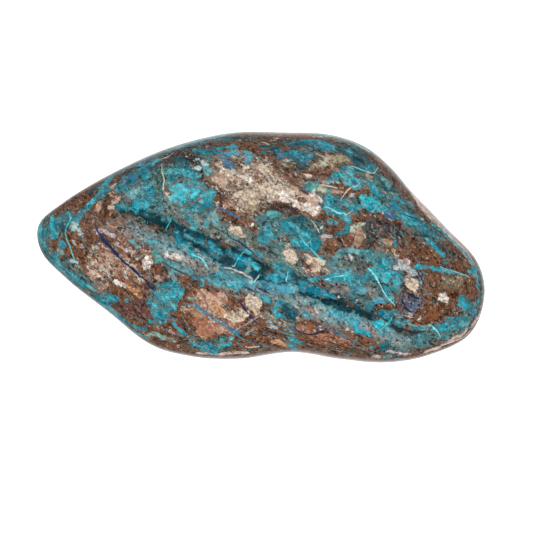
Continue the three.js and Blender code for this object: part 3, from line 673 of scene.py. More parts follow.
    (Tint.CYAN, (-18.8, -15, 0.14), (-17.6, -16.2, 0.18), (-16.3, -17.5, 0.27), (-15.1, -18.3, 0.23)),
    # Front edge, teal and pink.
    (Tint.CYAN, (-14.3, -19.9, 0.25), (-13.2, -20.3, 0.25)),
    (Tint.CYAN, (-12.4, -20.7, 0.37), (-11, -21.2, 0.7), (-9.8, -21.6, 0.6)),
    (Tint.TEAL, (-11.8, -20.1, 0.33), (-10.2, -20.5, 0.37)),
    (Tint.BRIGHT_CYAN, (-9.1, -21, 0.29), (-8.1, -20.1, 0.33), (-6.7, -19.9, 0.29)),
    (Tint.SEA_GREEN, (-8.3, -19.3, 0.4), (-7.5, -18.7, 0.29)),
    (Tint.PALE_TEAL, (-6.3, -18.7, 0.29)),
    # Front edge, middle.
    (Tint.TEAL, (0.3, -10.3, 0.5), (1.5, -11.1, 0.37)),
    (Tint.BLUE_CYAN, (2.8, -8.8, 0.5), (4.8, -8.6, 0.7)),
    (Tint.CYAN, (4, -11.1, 0.21), (3.2, -11.9, 0.31), (2.8, -12.9, 0.35), (3.4, -14, 0.27)),
    (Tint.PETROL_AND_SHADE, (5.4, -14.2, 0.5), (6.3, -15, 0.37)),
    (Tint.TEAL, (4.4, -14.2, 0.29)),
    (Tint.TEAL, (8.5, -13.8, 0.25), (9.6, -14.4, 0.18)),
    (Tint.CYAN, (5.2, -18.1, 0.21), (6.3, -18.9, 0.27), (7.9, -19.7, 0.29)),
    (Tint.CYAN, (6.3, -20.3, 0.37), (6.9, -21.2, 0.5)),
    (Tint.GREEN_DARK, (17.6, -21.6, 0.29), (18.8, -21.4, 0.29)),
    # Short groove.
    (Tint.GROOVE_BLUE, (11.4, -9.2, 0.7), (13.7, -10.3, 0.8), (15.3, -11.1, 0.6)),
    (Tint.GROOVE_BLUE, (25, -13.4, 0.33), (26, -14.4, 0.37)),
    (Tint.TEAL, (21.7, -11.7, 0.5), (22.5, -12.5, 0.4)),
    (Tint.BLUE_CYAN, (14.1, -13.1, 0.33), (16.1, -14.2, 0.5), (17.8, -14.4, 0.7), (19.6, -15, 0.5)),
    (Tint.PALE_TEAL, (18.6, -13.6, 0.5)),
    (Tint.CYAN, (16.9, -14, 0.16), (17.8, -15, 0.25), (18.6, -16, 0.21), (19.6, -17, 0.21),
     (21.1, -17.7, 0.21), (22.3, -18.1, 0.16)),
    # Blunt end, front.
    (Tint.BLUE_CYAN, (23.9, -10.9, 0.7), (25.6, -11.1, 0.5)),
    (Tint.CYAN, (25.6, -8.8, 0.5), (26.4, -10.1, 0.5), (27, -11.1, 0.29)),
    (Tint.PALE_TEAL, (27.4, -13.4, 0.37), (28.4, -14.4, 0.5)),
    (Tint.TEAL, (38.5, -15, 0.5), (40.4, -15, 0.5), (42.4, -15, 0.37)),
    (Tint.PALE_TEAL, (41.4, -16.2, 0.5), (42.4, -15.8, 0.33)),
    (Tint.DEEP_BLUE, (43.6, -13.1, 0.5), (44.1, -14, 0.33)),
    (Tint.CYAN, (44.7, -10.9, 0.27)),
    (Tint.PALE_TEAL, (29.9, -15.4, 0.29), (31.3, -16.4, 0.4), (33, -16.6, 0.4), (34.6, -16.2, 0.29)),
    (Tint.CYAN, (32.1, -18.3, 0.4), (32.6, -19.1, 0.5)),
    (Tint.CYAN, (37.9, -18.7, 0.31)),
    (Tint.PALE_TEAL, (24.5, -17.3, 0.5), (26, -17, 0.5), (26.8, -18.3, 0.37)),
    (Tint.TEAL, (27.2, -15.2, 0.37), (28, -16.2, 0.5), (29.3, -15.6, 0.37)),
    (Tint.TEAL, (22.7, -20.7, 0.29)),
    (Tint.DEEP_TEAL, (25.2, -20.1, 0.5), (25, -21.2, 0.29)),
    (Tint.PALE_TEAL, (25.4, -22.6, 0.35), (26.6, -22.2, 0.21)),
    (Tint.TEAL, (27.8, -23, 0.5), (29.1, -23.2, 0.29)),
    # Second pass.
    (Tint.GROOVE_BLUE, (-18.4, 3.5, 0.7), (-16.3, 2.9, 0.8)),
    (Tint.TEAL, (-20.8, 4.3, 0.29), (-19.6, 5.8, 0.5)),
    (Tint.BRIGHT_CYAN, (-2.4, -3.1, 0.6), (-0.7, -4.1, 0.7)),
    (Tint.CYAN, (1.3, -6, 0.6), (3, -6.6, 0.7)),
    (Tint.DEEP_TEAL, (-7.3, -3.5, 0.7), (-4.8, -4.7, 0.7), (-2.4, -6, 0.6)),
    (Tint.BRIGHT_CYAN, (-17.6, 12.1, 1), (-15.5, 10.9, 1.4), (-13.5, 11.7, 1)),
    (Tint.CYAN, (-11.4, 10.5, 0.8), (-10.2, 11.3, 0.6)),
    (Tint.CYAN, (8.1, -7.6, 0.25), (10.4, -6.8, 0.5), (13.2, -6.4, 0.6), (16.5, -6.2, 0.6),
     (19.8, -6.4, 0.4)),
    (Tint.BRIGHT_CYAN, (23.5, -15.8, 0.7), (25.2, -16.2, 0.5)),
    (Tint.CYAN, (26, -14.6, 0.29), (26.8, -13.4, 0.25)),
    (Tint.CYAN, (41.2, -11.3, 0.7), (42.4, -12.1, 0.5)),
    (Tint.CYAN, (36.3, -16.6, 0.6), (38.3, -16.2, 0.7), (40.4, -15.8, 0.6)),
    (Tint.CYAN, (31.3, -4.3, 0.12), (33.4, -4.1, 0.21), (36.7, -4.5, 0.25), (40, -5.3, 0.16),
     (42, -6.2, 0.12)),
    (Tint.TEAL, (4.4, 4.7, 0.6), (5.9, 4.3, 0.8), (7.3, 3.5, 0.6)),
    (Tint.DEEP_TEAL, (5.4, -12.5, 0.8), (6.7, -13.8, 0.7)),
    (Tint.CYAN, (28.4, 7, 0.4), (30.1, 6.4, 0.6), (31.7, 5.3, 0.6), (33.4, 4.3, 0.4)),
    (Tint.CYAN, (34.2, 1.4, 0.33), (35.8, -0.2, 0.37), (37.3, -1.6, 0.29)),
    # Deep shade of the long groove.
    (Tint.NIGHT_AND_SHADE, (-27.2, 7.4, 0.37), (-25.4, 6.6, 0.5), (-23.5, 5.8, 0.37)),
    (Tint.NIGHT_AND_SHADE, (-22.7, 5.1, 0.33), (-20.8, 3.9, 0.5), (-19.2, 3.1, 0.37)),
    (Tint.NIGHT_AND_SHADE, (-16.5, 3.3, 0.37), (-14.9, 2.3, 0.6), (-13.2, 0.8, 0.5)),
    (Tint.NIGHT_AND_SHADE, (-8.7, 1, 0.37), (-7.7, -0.4, 0.6), (-6.9, -2.1, 0.37)),
    (Tint.NIGHT_AND_SHADE, (-6.7, 0, 0.29), (-4.6, -1, 0.37), (-2.4, -2.1, 0.29)),
    (Tint.NIGHT_AND_SHADE, (-0.9, -3.1, 0.37), (0.9, -4.1, 0.5), (2.8, -5.1, 0.33)),
    (Tint.PETROL_AND_SHADE, (-13, 1.8, 0.33), (-11, 0.4, 0.4), (-9.8, -1, 0.29)),
    (Tint.BROWN, (-22.3, 4.1, 0.21), (-20.8, 4.7, 0.25), (-19.6, 5.3, 0.16)),
    (Tint.BROWN, (1.3, -5.3, 0.25), (2.6, -4.7, 0.21)),
    # Top edge, darker.
    (Tint.DEEP_TEAL, (6.3, 20.7, 0.4), (9.1, 21.6, 0.5), (12.4, 21.4, 0.4)),
    (Tint.DEEP_TEAL, (15.3, 20.3, 0.4), (18.2, 18.9, 0.5), (19.8, 16.6, 0.4)),
    (Tint.PETROL_AND_SHADE, (-9.3, 21.8, 0.29), (-6.1, 22.4, 0.33), (-3.2, 22.4, 0.21)),
    (Tint.DEEP_TEAL, (0.1, 20.7, 0.33), (3, 20.3, 0.37)),
    (Tint.DUSK_AND_SHADE, (18.6, 21.4, 0.4), (21.5, 19.5, 0.5), (23.5, 17.3, 0.4)),
    (Tint.MAROON, (25.2, 16.2, 0.33), (27.2, 14.2, 0.4)),
    (Tint.DEEP_TEAL, (23.9, 14.2, 0.4), (25.6, 12.1, 0.5)),
    # Second groove, darker: painted shade along its floor, over deep blue copper and a brown streak.
    (Tint.GROOVE_BLUE, (8.7, -8.4, 0.6), (11.6, -9, 0.7), (13.9, -10.3, 0.5)),
    (Tint.NIGHT_AND_SHADE, (13.2, -10.5, 0.25), (15.3, -11.1, 0.37), (17.4, -11.9, 0.4), (19, -12.7, 0.29)),
    (Tint.BROWN, (17.4, -11.1, 0.25), (18.6, -11.9, 0.29)),
    (Tint.NIGHT_AND_SHADE, (21.3, -13.6, 0.25), (22.9, -14.8, 0.37)),
    (Tint.NIGHT_AND_SHADE, (25.6, -15, 0.29), (27.2, -16.2, 0.5), (28.9, -17, 0.33)),
    (Tint.DUSK_AND_SHADE, (29.3, -17.3, 0.33), (31.3, -17.7, 0.33), (33, -17.7, 0.21)),
    # Top edge, deep copper.
    (Tint.GROOVE_BLUE, (8.9, 21.8, 0.7), (12, 21.4, 1), (14.5, 20.1, 0.7)),
    (Tint.GROOVE_TEAL, (5.4, 21.2, 0.37), (7.3, 21.4, 0.29)),
    (Tint.GROOVE_TEAL, (5.9, 18.9, 0.5), (7.9, 18.3, 0.7), (9.6, 19.1, 0.5)),
    (Tint.MAROON, (14.9, 21.4, 0.4), (16.9, 21.2, 0.5)),
    (Tint.GROOVE_TEAL, (16.9, 15.8, 0.5), (19.4, 16.2, 0.7), (21.9, 16.2, 0.5)),
    (Tint.GROOVE_TEAL, (-9.3, 21.8, 0.37), (-6.5, 22.2, 0.5)),
    # Last touches.
    # Painted shade along the floor of the long groove.
    (Tint.PETROL_AND_SHADE, (-17.6, 3.7, 0.5), (-14.7, 2.1, 0.5)),
    (Tint.GROOVE_TEAL, (-26.4, 7.6, 0.29), (-25.6, 6.8, 0.29)),
    (Tint.GROOVE_TEAL, (-23.5, 6.8, 0.37), (-22.7, 6.2, 0.21)),
    (Tint.GROOVE_TEAL, (-21.5, 5.5, 0.25), (-20.4, 4.3, 0.29)),
    (Tint.ORANGE_BROWN, (-21.9, 4.1, 0.21), (-20.6, 4.7, 0.25), (-19.4, 5.8, 0.16)),
    (Tint.GROOVE_BLUE, (-15.5, 2.5, 0.33), (-14.3, 1.4, 0.37)),
    (Tint.BROWN, (-8.1, 0.8, 0.21), (-6.7, -0.2, 0.21)),
    (Tint.VIVID, (-11.8, 0.8, 0.7), (-10.2, 0, 1.1), (-8.9, -1.2, 0.9)),
    (Tint.GROOVE_BLUE, (-6.5, -1.2, 0.7), (-4.4, -2.7, 1), (-2.6, -3.1, 0.6)),
    # Painted shade along the floor of the long groove.
    (Tint.PETROL_AND_SHADE, (-21.7, 5.3, 0.5), (-19.2, 4.5, 0.6), (-16.7, 3.3, 0.5)),
    (Tint.GROOVE_TEAL, (-14.7, 2.3, 0.5), (-13, 1.2, 0.6)),
    (Tint.DEEP_TEAL, (16.7, 21, 0.4), (19.6, 19.5, 0.5), (22.1, 17.5, 0.5)),
    (Tint.PETROL_AND_SHADE, (19, 18.3, 0.33), (20.8, 17.5, 0.37)),
)

# The fine veins, with one painted glint.
FINE_VEINS_AND_GLINT: tuple[Line, ...] = (
    (Tint.BROWN_LINE, (-29.9, 13.6, 0.12), (-27.8, 12.5, 0.14), (-26.2, 12.5, 0.12), (-24.8, 13.8, 0.12),
     (-23.3, 13.6, 0.12)),
    # Bright wedge and its veins.
    (Tint.PALE_VEIN, (-20.6, 17, 0.10), (-20.4, 15, 0.12), (-20, 13.6, 0.14), (-20.2, 11.9, 0.16),
     (-19.6, 10.9, 0.16), (-18.8, 9.9, 0.12)),
    (Tint.PALE_VEIN, (-20.8, 18.1, 0.10), (-19.4, 18.5, 0.14), (-18.4, 19.1, 0.10)),
    (Tint.BROWN_LINE, (-19.8, 11.3, 0.21), (-18.8, 12.5, 0.23), (-17.4, 13.8, 0.21), (-15.3, 14.2, 0.18),
     (-13.2, 13.8, 0.16)),
    (Tint.BROWN_LINE, (-16.7, 8, 0.16), (-14.7, 8.8, 0.23), (-12.6, 9.9, 0.23), (-11, 10.3, 0.14)),
    (Tint.BROWN_LINE, (-15.5, 12.9, 0.12), (-14.1, 12.3, 0.14), (-12.4, 12.1, 0.12)),
    # Back edge, middle and east.
    (Tint.PALE_VEIN, (7.3, 10.3, 0.14), (10.2, 10.3, 0.14)),
    (Tint.PALE_VEIN, (16.3, 9.7, 0.12), (17.2, 11.1, 0.16), (18.4, 12.3, 0.14), (19.8, 12.7, 0.10)),
    (Tint.PALE_VEIN, (12.4, 12.9, 0.10), (14.1, 12.5, 0.12), (15.5, 12.1, 0.10)),
    (Tint.WHITE_CYAN, (18.6, 16.6, 0.10), (19.8, 16.2, 0.14), (21.5, 15.6, 0.14), (22.9, 15.2, 0.10)),
    (Tint.PALE_CYAN, (21.5, 15.4, 0.12), (23.1, 15.2, 0.18), (23.9, 16.2, 0.14)),
    (Tint.CYAN_LINE, (-39.7, 7, 0.16), (-39.3, 5.8, 0.17), (-40, 4.3, 0.17), (-40.4, 2.9, 0.14),
     (-40, 1.4, 0.16), (-39.3, -0.2, 0.19), (-38.9, -1.6, 0.17), (-38.1, -3.3, 0.16), (-37.3, -4.3, 0.10)),
    (Tint.TEAL, (-36.9, 1.8, 0.12), (-36.3, 0.6, 0.10), (-35.2, -0.6, 0.12), (-34.2, -1.2, 0.10)),
    (Tint.NAVY, (-34.2, 4.7, 0.21), (-33.6, 3.1, 0.33), (-32.6, 1.6, 0.53), (-31.5, 0.4, 0.41),
     (-30.3, -1, 0.39), (-28.9, -2.5, 0.37), (-27, -4.1, 0.39), (-25.2, -5.8, 0.37), (-23.7, -7.2, 0.35),
     (-22.3, -8.8, 0.29)),
    # Long groove, upper wall.
    (Tint.CYAN_LINE, (-18.6, 5.8, 0.10), (-19.2, 4.5, 0.12), (-19.8, 3.5, 0.10)),
    (Tint.PALE_CYAN, (-26.4, 6.4, 0.08), (-24.5, 4.7, 0.08)),
    (Tint.PALE_CYAN, (-25.4, 6.4, 0.08), (-23.7, 5.1, 0.08)),
    (Tint.CYAN_LINE, (-3.8, -1, 0.14), (-4.6, -2.1, 0.14), (-5.4, -3.5, 0.12)),
    (Tint.NAVY, (-7.3, 3.9, 0.14), (-7.1, 2.7, 0.18), (-6.1, 1.6, 0.18), (-4.4, 1, 0.23), (-3.2, 0, 0.25),
     (-1.7, -1.2, 0.16)),
    (Tint.BLUE, (-9.1, 8.4, 0.18), (-7.7, 7.6, 0.25), (-6.1, 6.8, 0.25), (-4.4, 5.8, 0.18)),
    # Long groove, lower wall.
    (Tint.WHITE_CYAN, (-14.1, -1.6, 0.12), (-12.8, -2.1, 0.16), (-11.8, -2.9, 0.17), (-11, -4.3, 0.12)),
    (Tint.PALE_VEIN, (-7.3, -4.3, 0.16), (-5.6, -4.7, 0.19), (-3.6, -5.5, 0.21), (-2, -6.4, 0.16)),
    (Tint.WHITE_CYAN, (-2, -7.4, 0.12), (-0.7, -6.2, 0.16)),
    (Tint.DARK_VEIN, (-20, -3.1, 0.12), (-18.4, -4.3, 0.16), (-16.3, -5.3, 0.16), (-14.7, -6.2, 0.12)),
    (Tint.NAVY, (-3.4, -8.2, 0.25), (-2, -8.8, 0.31)),
    # Middle of the upper face.
    (Tint.CYAN_LINE, (7.9, 2.3, 0.14), (8.7, 0.8, 0.33), (9.6, 0.2, 0.16)),
    (Tint.CYAN_LINE, (9.6, 0.2, 0.12), (10.8, -1, 0.14), (12, -2.3, 0.16), (13.5, -3.7, 0.10)),
    (Tint.WHITE_CYAN, (13.5, 8.2, 0.12), (15.3, 7.2, 0.16), (17.4, 6.6, 0.14), (18.6, 7.4, 0.10)),
    (Tint.PALE_VEIN, (10.4, 5.3, 0.10), (11.2, 4.3, 0.12), (11.8, 3.3, 0.10)),
    (Tint.WHITE_CYAN, (5.4, -5.1, 0.10), (5.2, -6.8, 0.14)),
    (Tint.WHITE_CYAN, (13.2, -6.6, 0.14), (15.3, -6, 0.16), (17.6, -5.8, 0.14)),
    # Blunt end.
    (Tint.NAVY, (29.5, 6.6, 0.16), (31.3, 6, 0.23), (33.4, 5.3, 0.16)),
    (Tint.INK, (32.1, -5.3, 0.27), (33, -6.6, 0.25)),
    (Tint.WHITE_CYAN, (22.3, -4.7, 0.14), (23.3, -5.8, 0.16), (24.1, -7.2, 0.16), (25, -9, 0.12)),
    (Tint.WHITE_CYAN, (37.3, -4.3, 0.10), (40, -5.1, 0.10), (42.4, -6, 0.12)),
    (Tint.TEAL, (-15.5, -11.7, 0.14), (-14.5, -11.9, 0.18), (-13.2, -12.5, 0.21), (-11.6, -13.8, 0.23),
     (-10, -14.8, 0.23), (-8.3, -15.8, 0.23), (-6.7, -17, 0.23), (-5, -18.1, 0.25), (-3.6, -18.9, 0.18),
     (-2.2, -19.5, 0.14), (-0.7, -20.1, 0.10)),
    (Tint.ASH, (-5.9, -17.9, 0.16), (-3.8, -16.2, 0.18), (-2.2, -15.2, 0.21), (-0.5, -14.2, 0.16)),
    (Tint.DARK_VEIN, (-7.1, -20.7, 0.10), (-5.6, -22, 0.10)),
    # Front edge, middle.
    (Tint.NAVY, (-0.7, -8.4, 0.29), (0.5, -9, 0.31), (1.1, -9.4, 0.21)),
    (Tint.BLUE, (1.3, -15.6, 0.14), (3, -16.2, 0.23), (4.6, -16.4, 0.18), (6.3, -17, 0.23),
     (7.3, -17.3, 0.14)),
    (Tint.INK, (9.3, -17.9, 0.21), (11, -17.9, 0.35), (12.2, -17.3, 0.23)),
    (Tint.DUSTY_TEAL, (13.2, -15.6, 0.10), (15.7, -17.3, 0.14), (17.4, -18.3, 0.16), (19, -19.3, 0.14),
     (21.1, -20.5, 0.12)),
    (Tint.DARK_VEIN, (12, -19.3, 0.12), (14.1, -19.5, 0.16), (16.1, -20.3, 0.18), (18.2, -21, 0.16)),
    (Tint.DUSTY_TEAL, (-1.3, -19.7, 0.12), (0.7, -20.3, 0.16), (2.8, -20.7, 0.16), (4.6, -21.2, 0.14)),
    (Tint.DUSTY_TEAL, (7.9, -19.9, 0.14), (9.1, -20.5, 0.16), (11.4, -21.2, 0.14)),
    # Blunt end, front.
    (Tint.WHITE_CYAN, (24.5, -8, 0.14), (25.6, -10.1, 0.16), (27, -11.7, 0.16)),
    (Tint.WHITE_CYAN, (34.4, -16, 0.10), (35.8, -17, 0.14), (36.7, -18.3, 0.10)),
    (Tint.CYAN_LINE, (26.8, -14.6, 0.14), (25.8, -15.8, 0.17), (25, -16.6, 0.16)),
    (Tint.DARK_VEIN, (33.8, -21, 0.12), (35.8, -20.3, 0.23), (38.1, -19.5, 0.16)),
    # Second pass.
    (Tint.INK, (26.4, -16.2, 0.29), (28.4, -16.8, 0.25), (30.9, -17.5, 0.29), (33.4, -17.3, 0.21)),
    # Painted glint: a white speck in a pit of the short groove.
    (Tint.SHELL_AND_GLINT, (15.8, -10.3, 0.31)),
    (Tint.INK, (30.5, -9.7, 0.45), (32.1, -10.5, 0.49)),
    (Tint.INK, (28.9, -11.3, 0.37), (30.1, -12.9, 0.37)),
    (Tint.PALE_VEIN, (33.4, -21.8, 0.23), (36.7, -20.5, 0.31), (39.7, -19.3, 0.31), (42.6, -17.5, 0.25)),
    # Third pass.
    (Tint.BROWN_LINE, (-11.8, -10.1, 0.12), (-11, -12.1, 0.18), (-11.4, -14.6, 0.12)),
    (Tint.BROWN_LINE, (-8.9, -12.5, 0.16), (-7.3, -15.4, 0.21), (-6.1, -17.5, 0.12)),
    (Tint.NAVY, (-4.4, -11.3, 0.29), (-3.4, -12.9, 0.33), (-2, -14.6, 0.25), (-0.7, -15.8, 0.16)),
    (Tint.BLUE, (-13.5, -11.7, 0.18), (-10.6, -13.8, 0.23), (-7.3, -15.8, 0.23), (-4.4, -17.5, 0.16)),
    # Pale skin of the front edge.
    (Tint.NAVY, (7.1, -17, 0.25), (8.7, -17.7, 0.21)),
    (Tint.INK, (0.1, -17, 0.18), (3, -17.7, 0.23), (5.9, -18.3, 0.18)),
    (Tint.DARK_VEIN, (7.9, -19.1, 0.16), (11.6, -20.1, 0.21), (15.3, -21, 0.16)),
    (Tint.BLUE, (11.6, -16.4, 0.14), (15.3, -17.9, 0.18), (19, -19.7, 0.14)),
)

MARKINGS: dict[Layer, tuple[Line, ...]] = {
    Layer.WASH: STAINS_WITH_SHADE_AND_SHEEN,
    Layer.CLAST: CLASTS_AND_RIM_SHEEN,
    Layer.COPPER: COPPER_AND_GROOVE_SHADE,
    Layer.VEIN: FINE_VEINS_AND_GLINT,
}


@dataclass(frozen=True)
class ScatterKind:
    """A kind of marking that is strewn over the sides and the underside."""

    layer: Layer
    tints: tuple[Tint, ...]  # the minerals that it may be
    share: float  # how common it is
    steps: int  # how many points its line has
    step: tuple[float, float]  # the shortest and longest step between them, mm
    half_width: tuple[float, float]  # the least and greatest half-width, mm


SCATTER_KINDS = (
    ScatterKind(
        Layer.WASH,
        (Tint.GREY_TEAL, Tint.CREAM_GRAIN, Tint.PINK_GRAIN, Tint.ORANGE_BROWN, Tint.MAROON, Tint.SLATE),
        share=3.0, steps=3, step=(2.0, 6.0), half_width=(1.2, 3.5),
    ),
    ScatterKind(
        Layer.WASH,
        (Tint.DARK_TEAL, Tint.TEAL_BROWN),
        share=1.0, steps=3, step=(2.0, 5.0), half_width=(1.0, 3.0),
    ),
    ScatterKind(
        Layer.CLAST,
        (Tint.CREAM, Tint.PINK_CREAM, Tint.PEACH, Tint.TAN, Tint.LILAC, Tint.SALMON, Tint.OLIVE_CREAM),
        share=2.4, steps=2, step=(0.4, 1.8), half_width=(0.3, 1.3),
    ),
    ScatterKind(
        Layer.COPPER,
        (Tint.TEAL, Tint.CYAN, Tint.PALE_TEAL, Tint.SEA_GREEN, Tint.VIVID, Tint.DEEP_TEAL, Tint.DEEP_BLUE),
        share=4.2, steps=3, step=(0.8, 3.0), half_width=(0.3, 1.6),
    ),
    ScatterKind(
        Layer.COPPER,
        (Tint.BRIGHT_CYAN, Tint.CYAN),
        share=1.0, steps=3, step=(0.6, 2.0), half_width=(0.3, 1.1),
    ),
    ScatterKind(
        Layer.VEIN,
        (Tint.CYAN_LINE, Tint.TEAL, Tint.NAVY, Tint.BLUE),
        share=2.2, steps=7, step=(1.2, 2.6), half_width=(0.12, 0.32),
    ),
    ScatterKind(
        Layer.VEIN,
        (Tint.PALE_VEIN, Tint.WHITE_CYAN),
        share=0.7, steps=4, step=(0.5, 1.4), half_width=(0.1, 0.25),
    ),
)


# ---- Shape ----


@dataclass
class Pit:
    """A small hollow that the polish didn't reach."""

    x: float  # its place along the stone, mm
    y: float  # its place across the stone, mm
    radius: float  # how wide it is, mm
    depth: float  # how deep it is, mm


@dataclass
class StoneBody:
    """The stone's mesh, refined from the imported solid."""

    rounds: int = 2  # how many times each edge is halved
    smoothings: int = 5  # passes that take the facets off
    wave_period: float = 7.0  # spacing of the faint waves that hand polishing leaves, mm
    wave_height: float = 0.07  # height of those waves, mm
    wave_start: float = 3.0  # height over the table at which they reach their full strength, mm
    flat_height: float = 0.01  # up to this height, mm, a vertex belongs to the ground flat
    pits: tuple[Pit, ...] = (
        Pit(14.0, -9.2, 0.5, 0.30),
        Pit(15.2, -9.6, 0.7, 0.42),
        Pit(16.0, -10.4, 0.4, 0.25),
        Pit(17.3, -10.3, 0.35, 0.2),
    )
    pit_rounds: int = 3  # how many times the mesh is refined round a pit
    # how far round it the first time, and how much less each time, mm
    pit_margin: tuple[float, float] = (0.8, 0.2)
    pit_level: float = 15.0  # only the face above this height takes pits, mm
    # (period in mm, share of the depth) of the roughness inside a pit
    pit_grain: tuple[float, float] = (0.25, 0.6)
    pit_steepness: float = 1.3  # how steep its wall is

    def build(self, node: bpy.types.Object) -> bpy.types.Object:
        """Makes the stone's piece from its CAD node.

        Args:
            node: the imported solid, which is only read.

        Returns:
            The new piece, at the origin, riding on the stone's body.
        """
        stone = bmesh.new()
        stone.from_mesh(node.data)
        bmesh.ops.remove_doubles(stone, verts=stone.verts, dist=0.001 * MM)
        for _ in range(self.rounds):
            bmesh.ops.subdivide_edges(stone, edges=stone.edges, cuts=1, smooth=1.0)
        for _ in range(self.smoothings):
            self._smooth(stone)
        self._wave(stone)
        for pit in self.pits:
            self._cut_pit(stone, pit)
        for face in stone.faces:
            face.smooth = True
        mesh = bpy.data.meshes.new("stone")
        stone.to_mesh(mesh)
        stone.free()
        piece = bpy.data.objects.new("stone", mesh)
        bpy.context.scene.collection.objects.link(piece)
        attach(piece, "root")
        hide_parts(STONE_NODE)
        return piece

    def _smooth(self, stone: bmesh.types.BMesh) -> None:
        """Eases every vertex but those of the ground flat towards its neighbours."""
        free = [v for v in stone.verts if v.co.z > self.flat_height * MM]
        bmesh.ops.smooth_vert(
            stone, verts=free, factor=0.5, use_axis_x=True, use_axis_y=True, use_axis_z=True
        )

    def _wave(self, stone: bmesh.types.BMesh) -> None:
        """Adds the faint waves, inwards only, and none on the ground flat.

        Args:
            stone: the stone's mesh.
        """
        stone.normal_update()
        moves = []
        for vert in stone.verts:
            lift = min(vert.co.z / (self.wave_start * MM), 1.0)
            swell = noise.noise(vert.co / (self.wave_period * MM)) - 1
            moves.append(vert.normal * (0.5 * self.wave_height * MM * lift * swell))
        for vert, move in zip(stone.verts, moves):
            vert.co += move

    def _cut_pit(self, stone: bmesh.types.BMesh, pit: Pit) -> None:
        """Refines the surface at a pit and presses the pit into it.

        Args:
            stone: the stone's mesh.
            pit: the pit.
        """
        margin, less = self.pit_margin
        level = self.pit_level * MM
        for rounds in range(self.pit_rounds):
            reach = (pit.radius + margin - less * rounds) * MM
            near = [
                e
                for e in stone.edges
                if all(math.hypot(v.co.x - pit.x * MM, v.co.y - pit.y * MM) < reach for v in e.verts)
                and e.verts[0].co.z > level
            ]
            bmesh.ops.subdivide_edges(stone, edges=near, cuts=1)
            bmesh.ops.triangulate(stone, faces=[f for f in stone.faces if len(f.verts) > 3])
        period, share = self.pit_grain
        for vert in stone.verts:
            away = math.hypot(vert.co.x - pit.x * MM, vert.co.y - pit.y * MM) / (pit.radius * MM)
            if away < 2 and vert.co.z > level:
                rough = 1 + share * noise.noise(vert.co / (period * MM))
                vert.co.z -= pit.depth * MM * rough * math.exp(-((self.pit_steepness * away) ** 4))


# ---- Markings ----


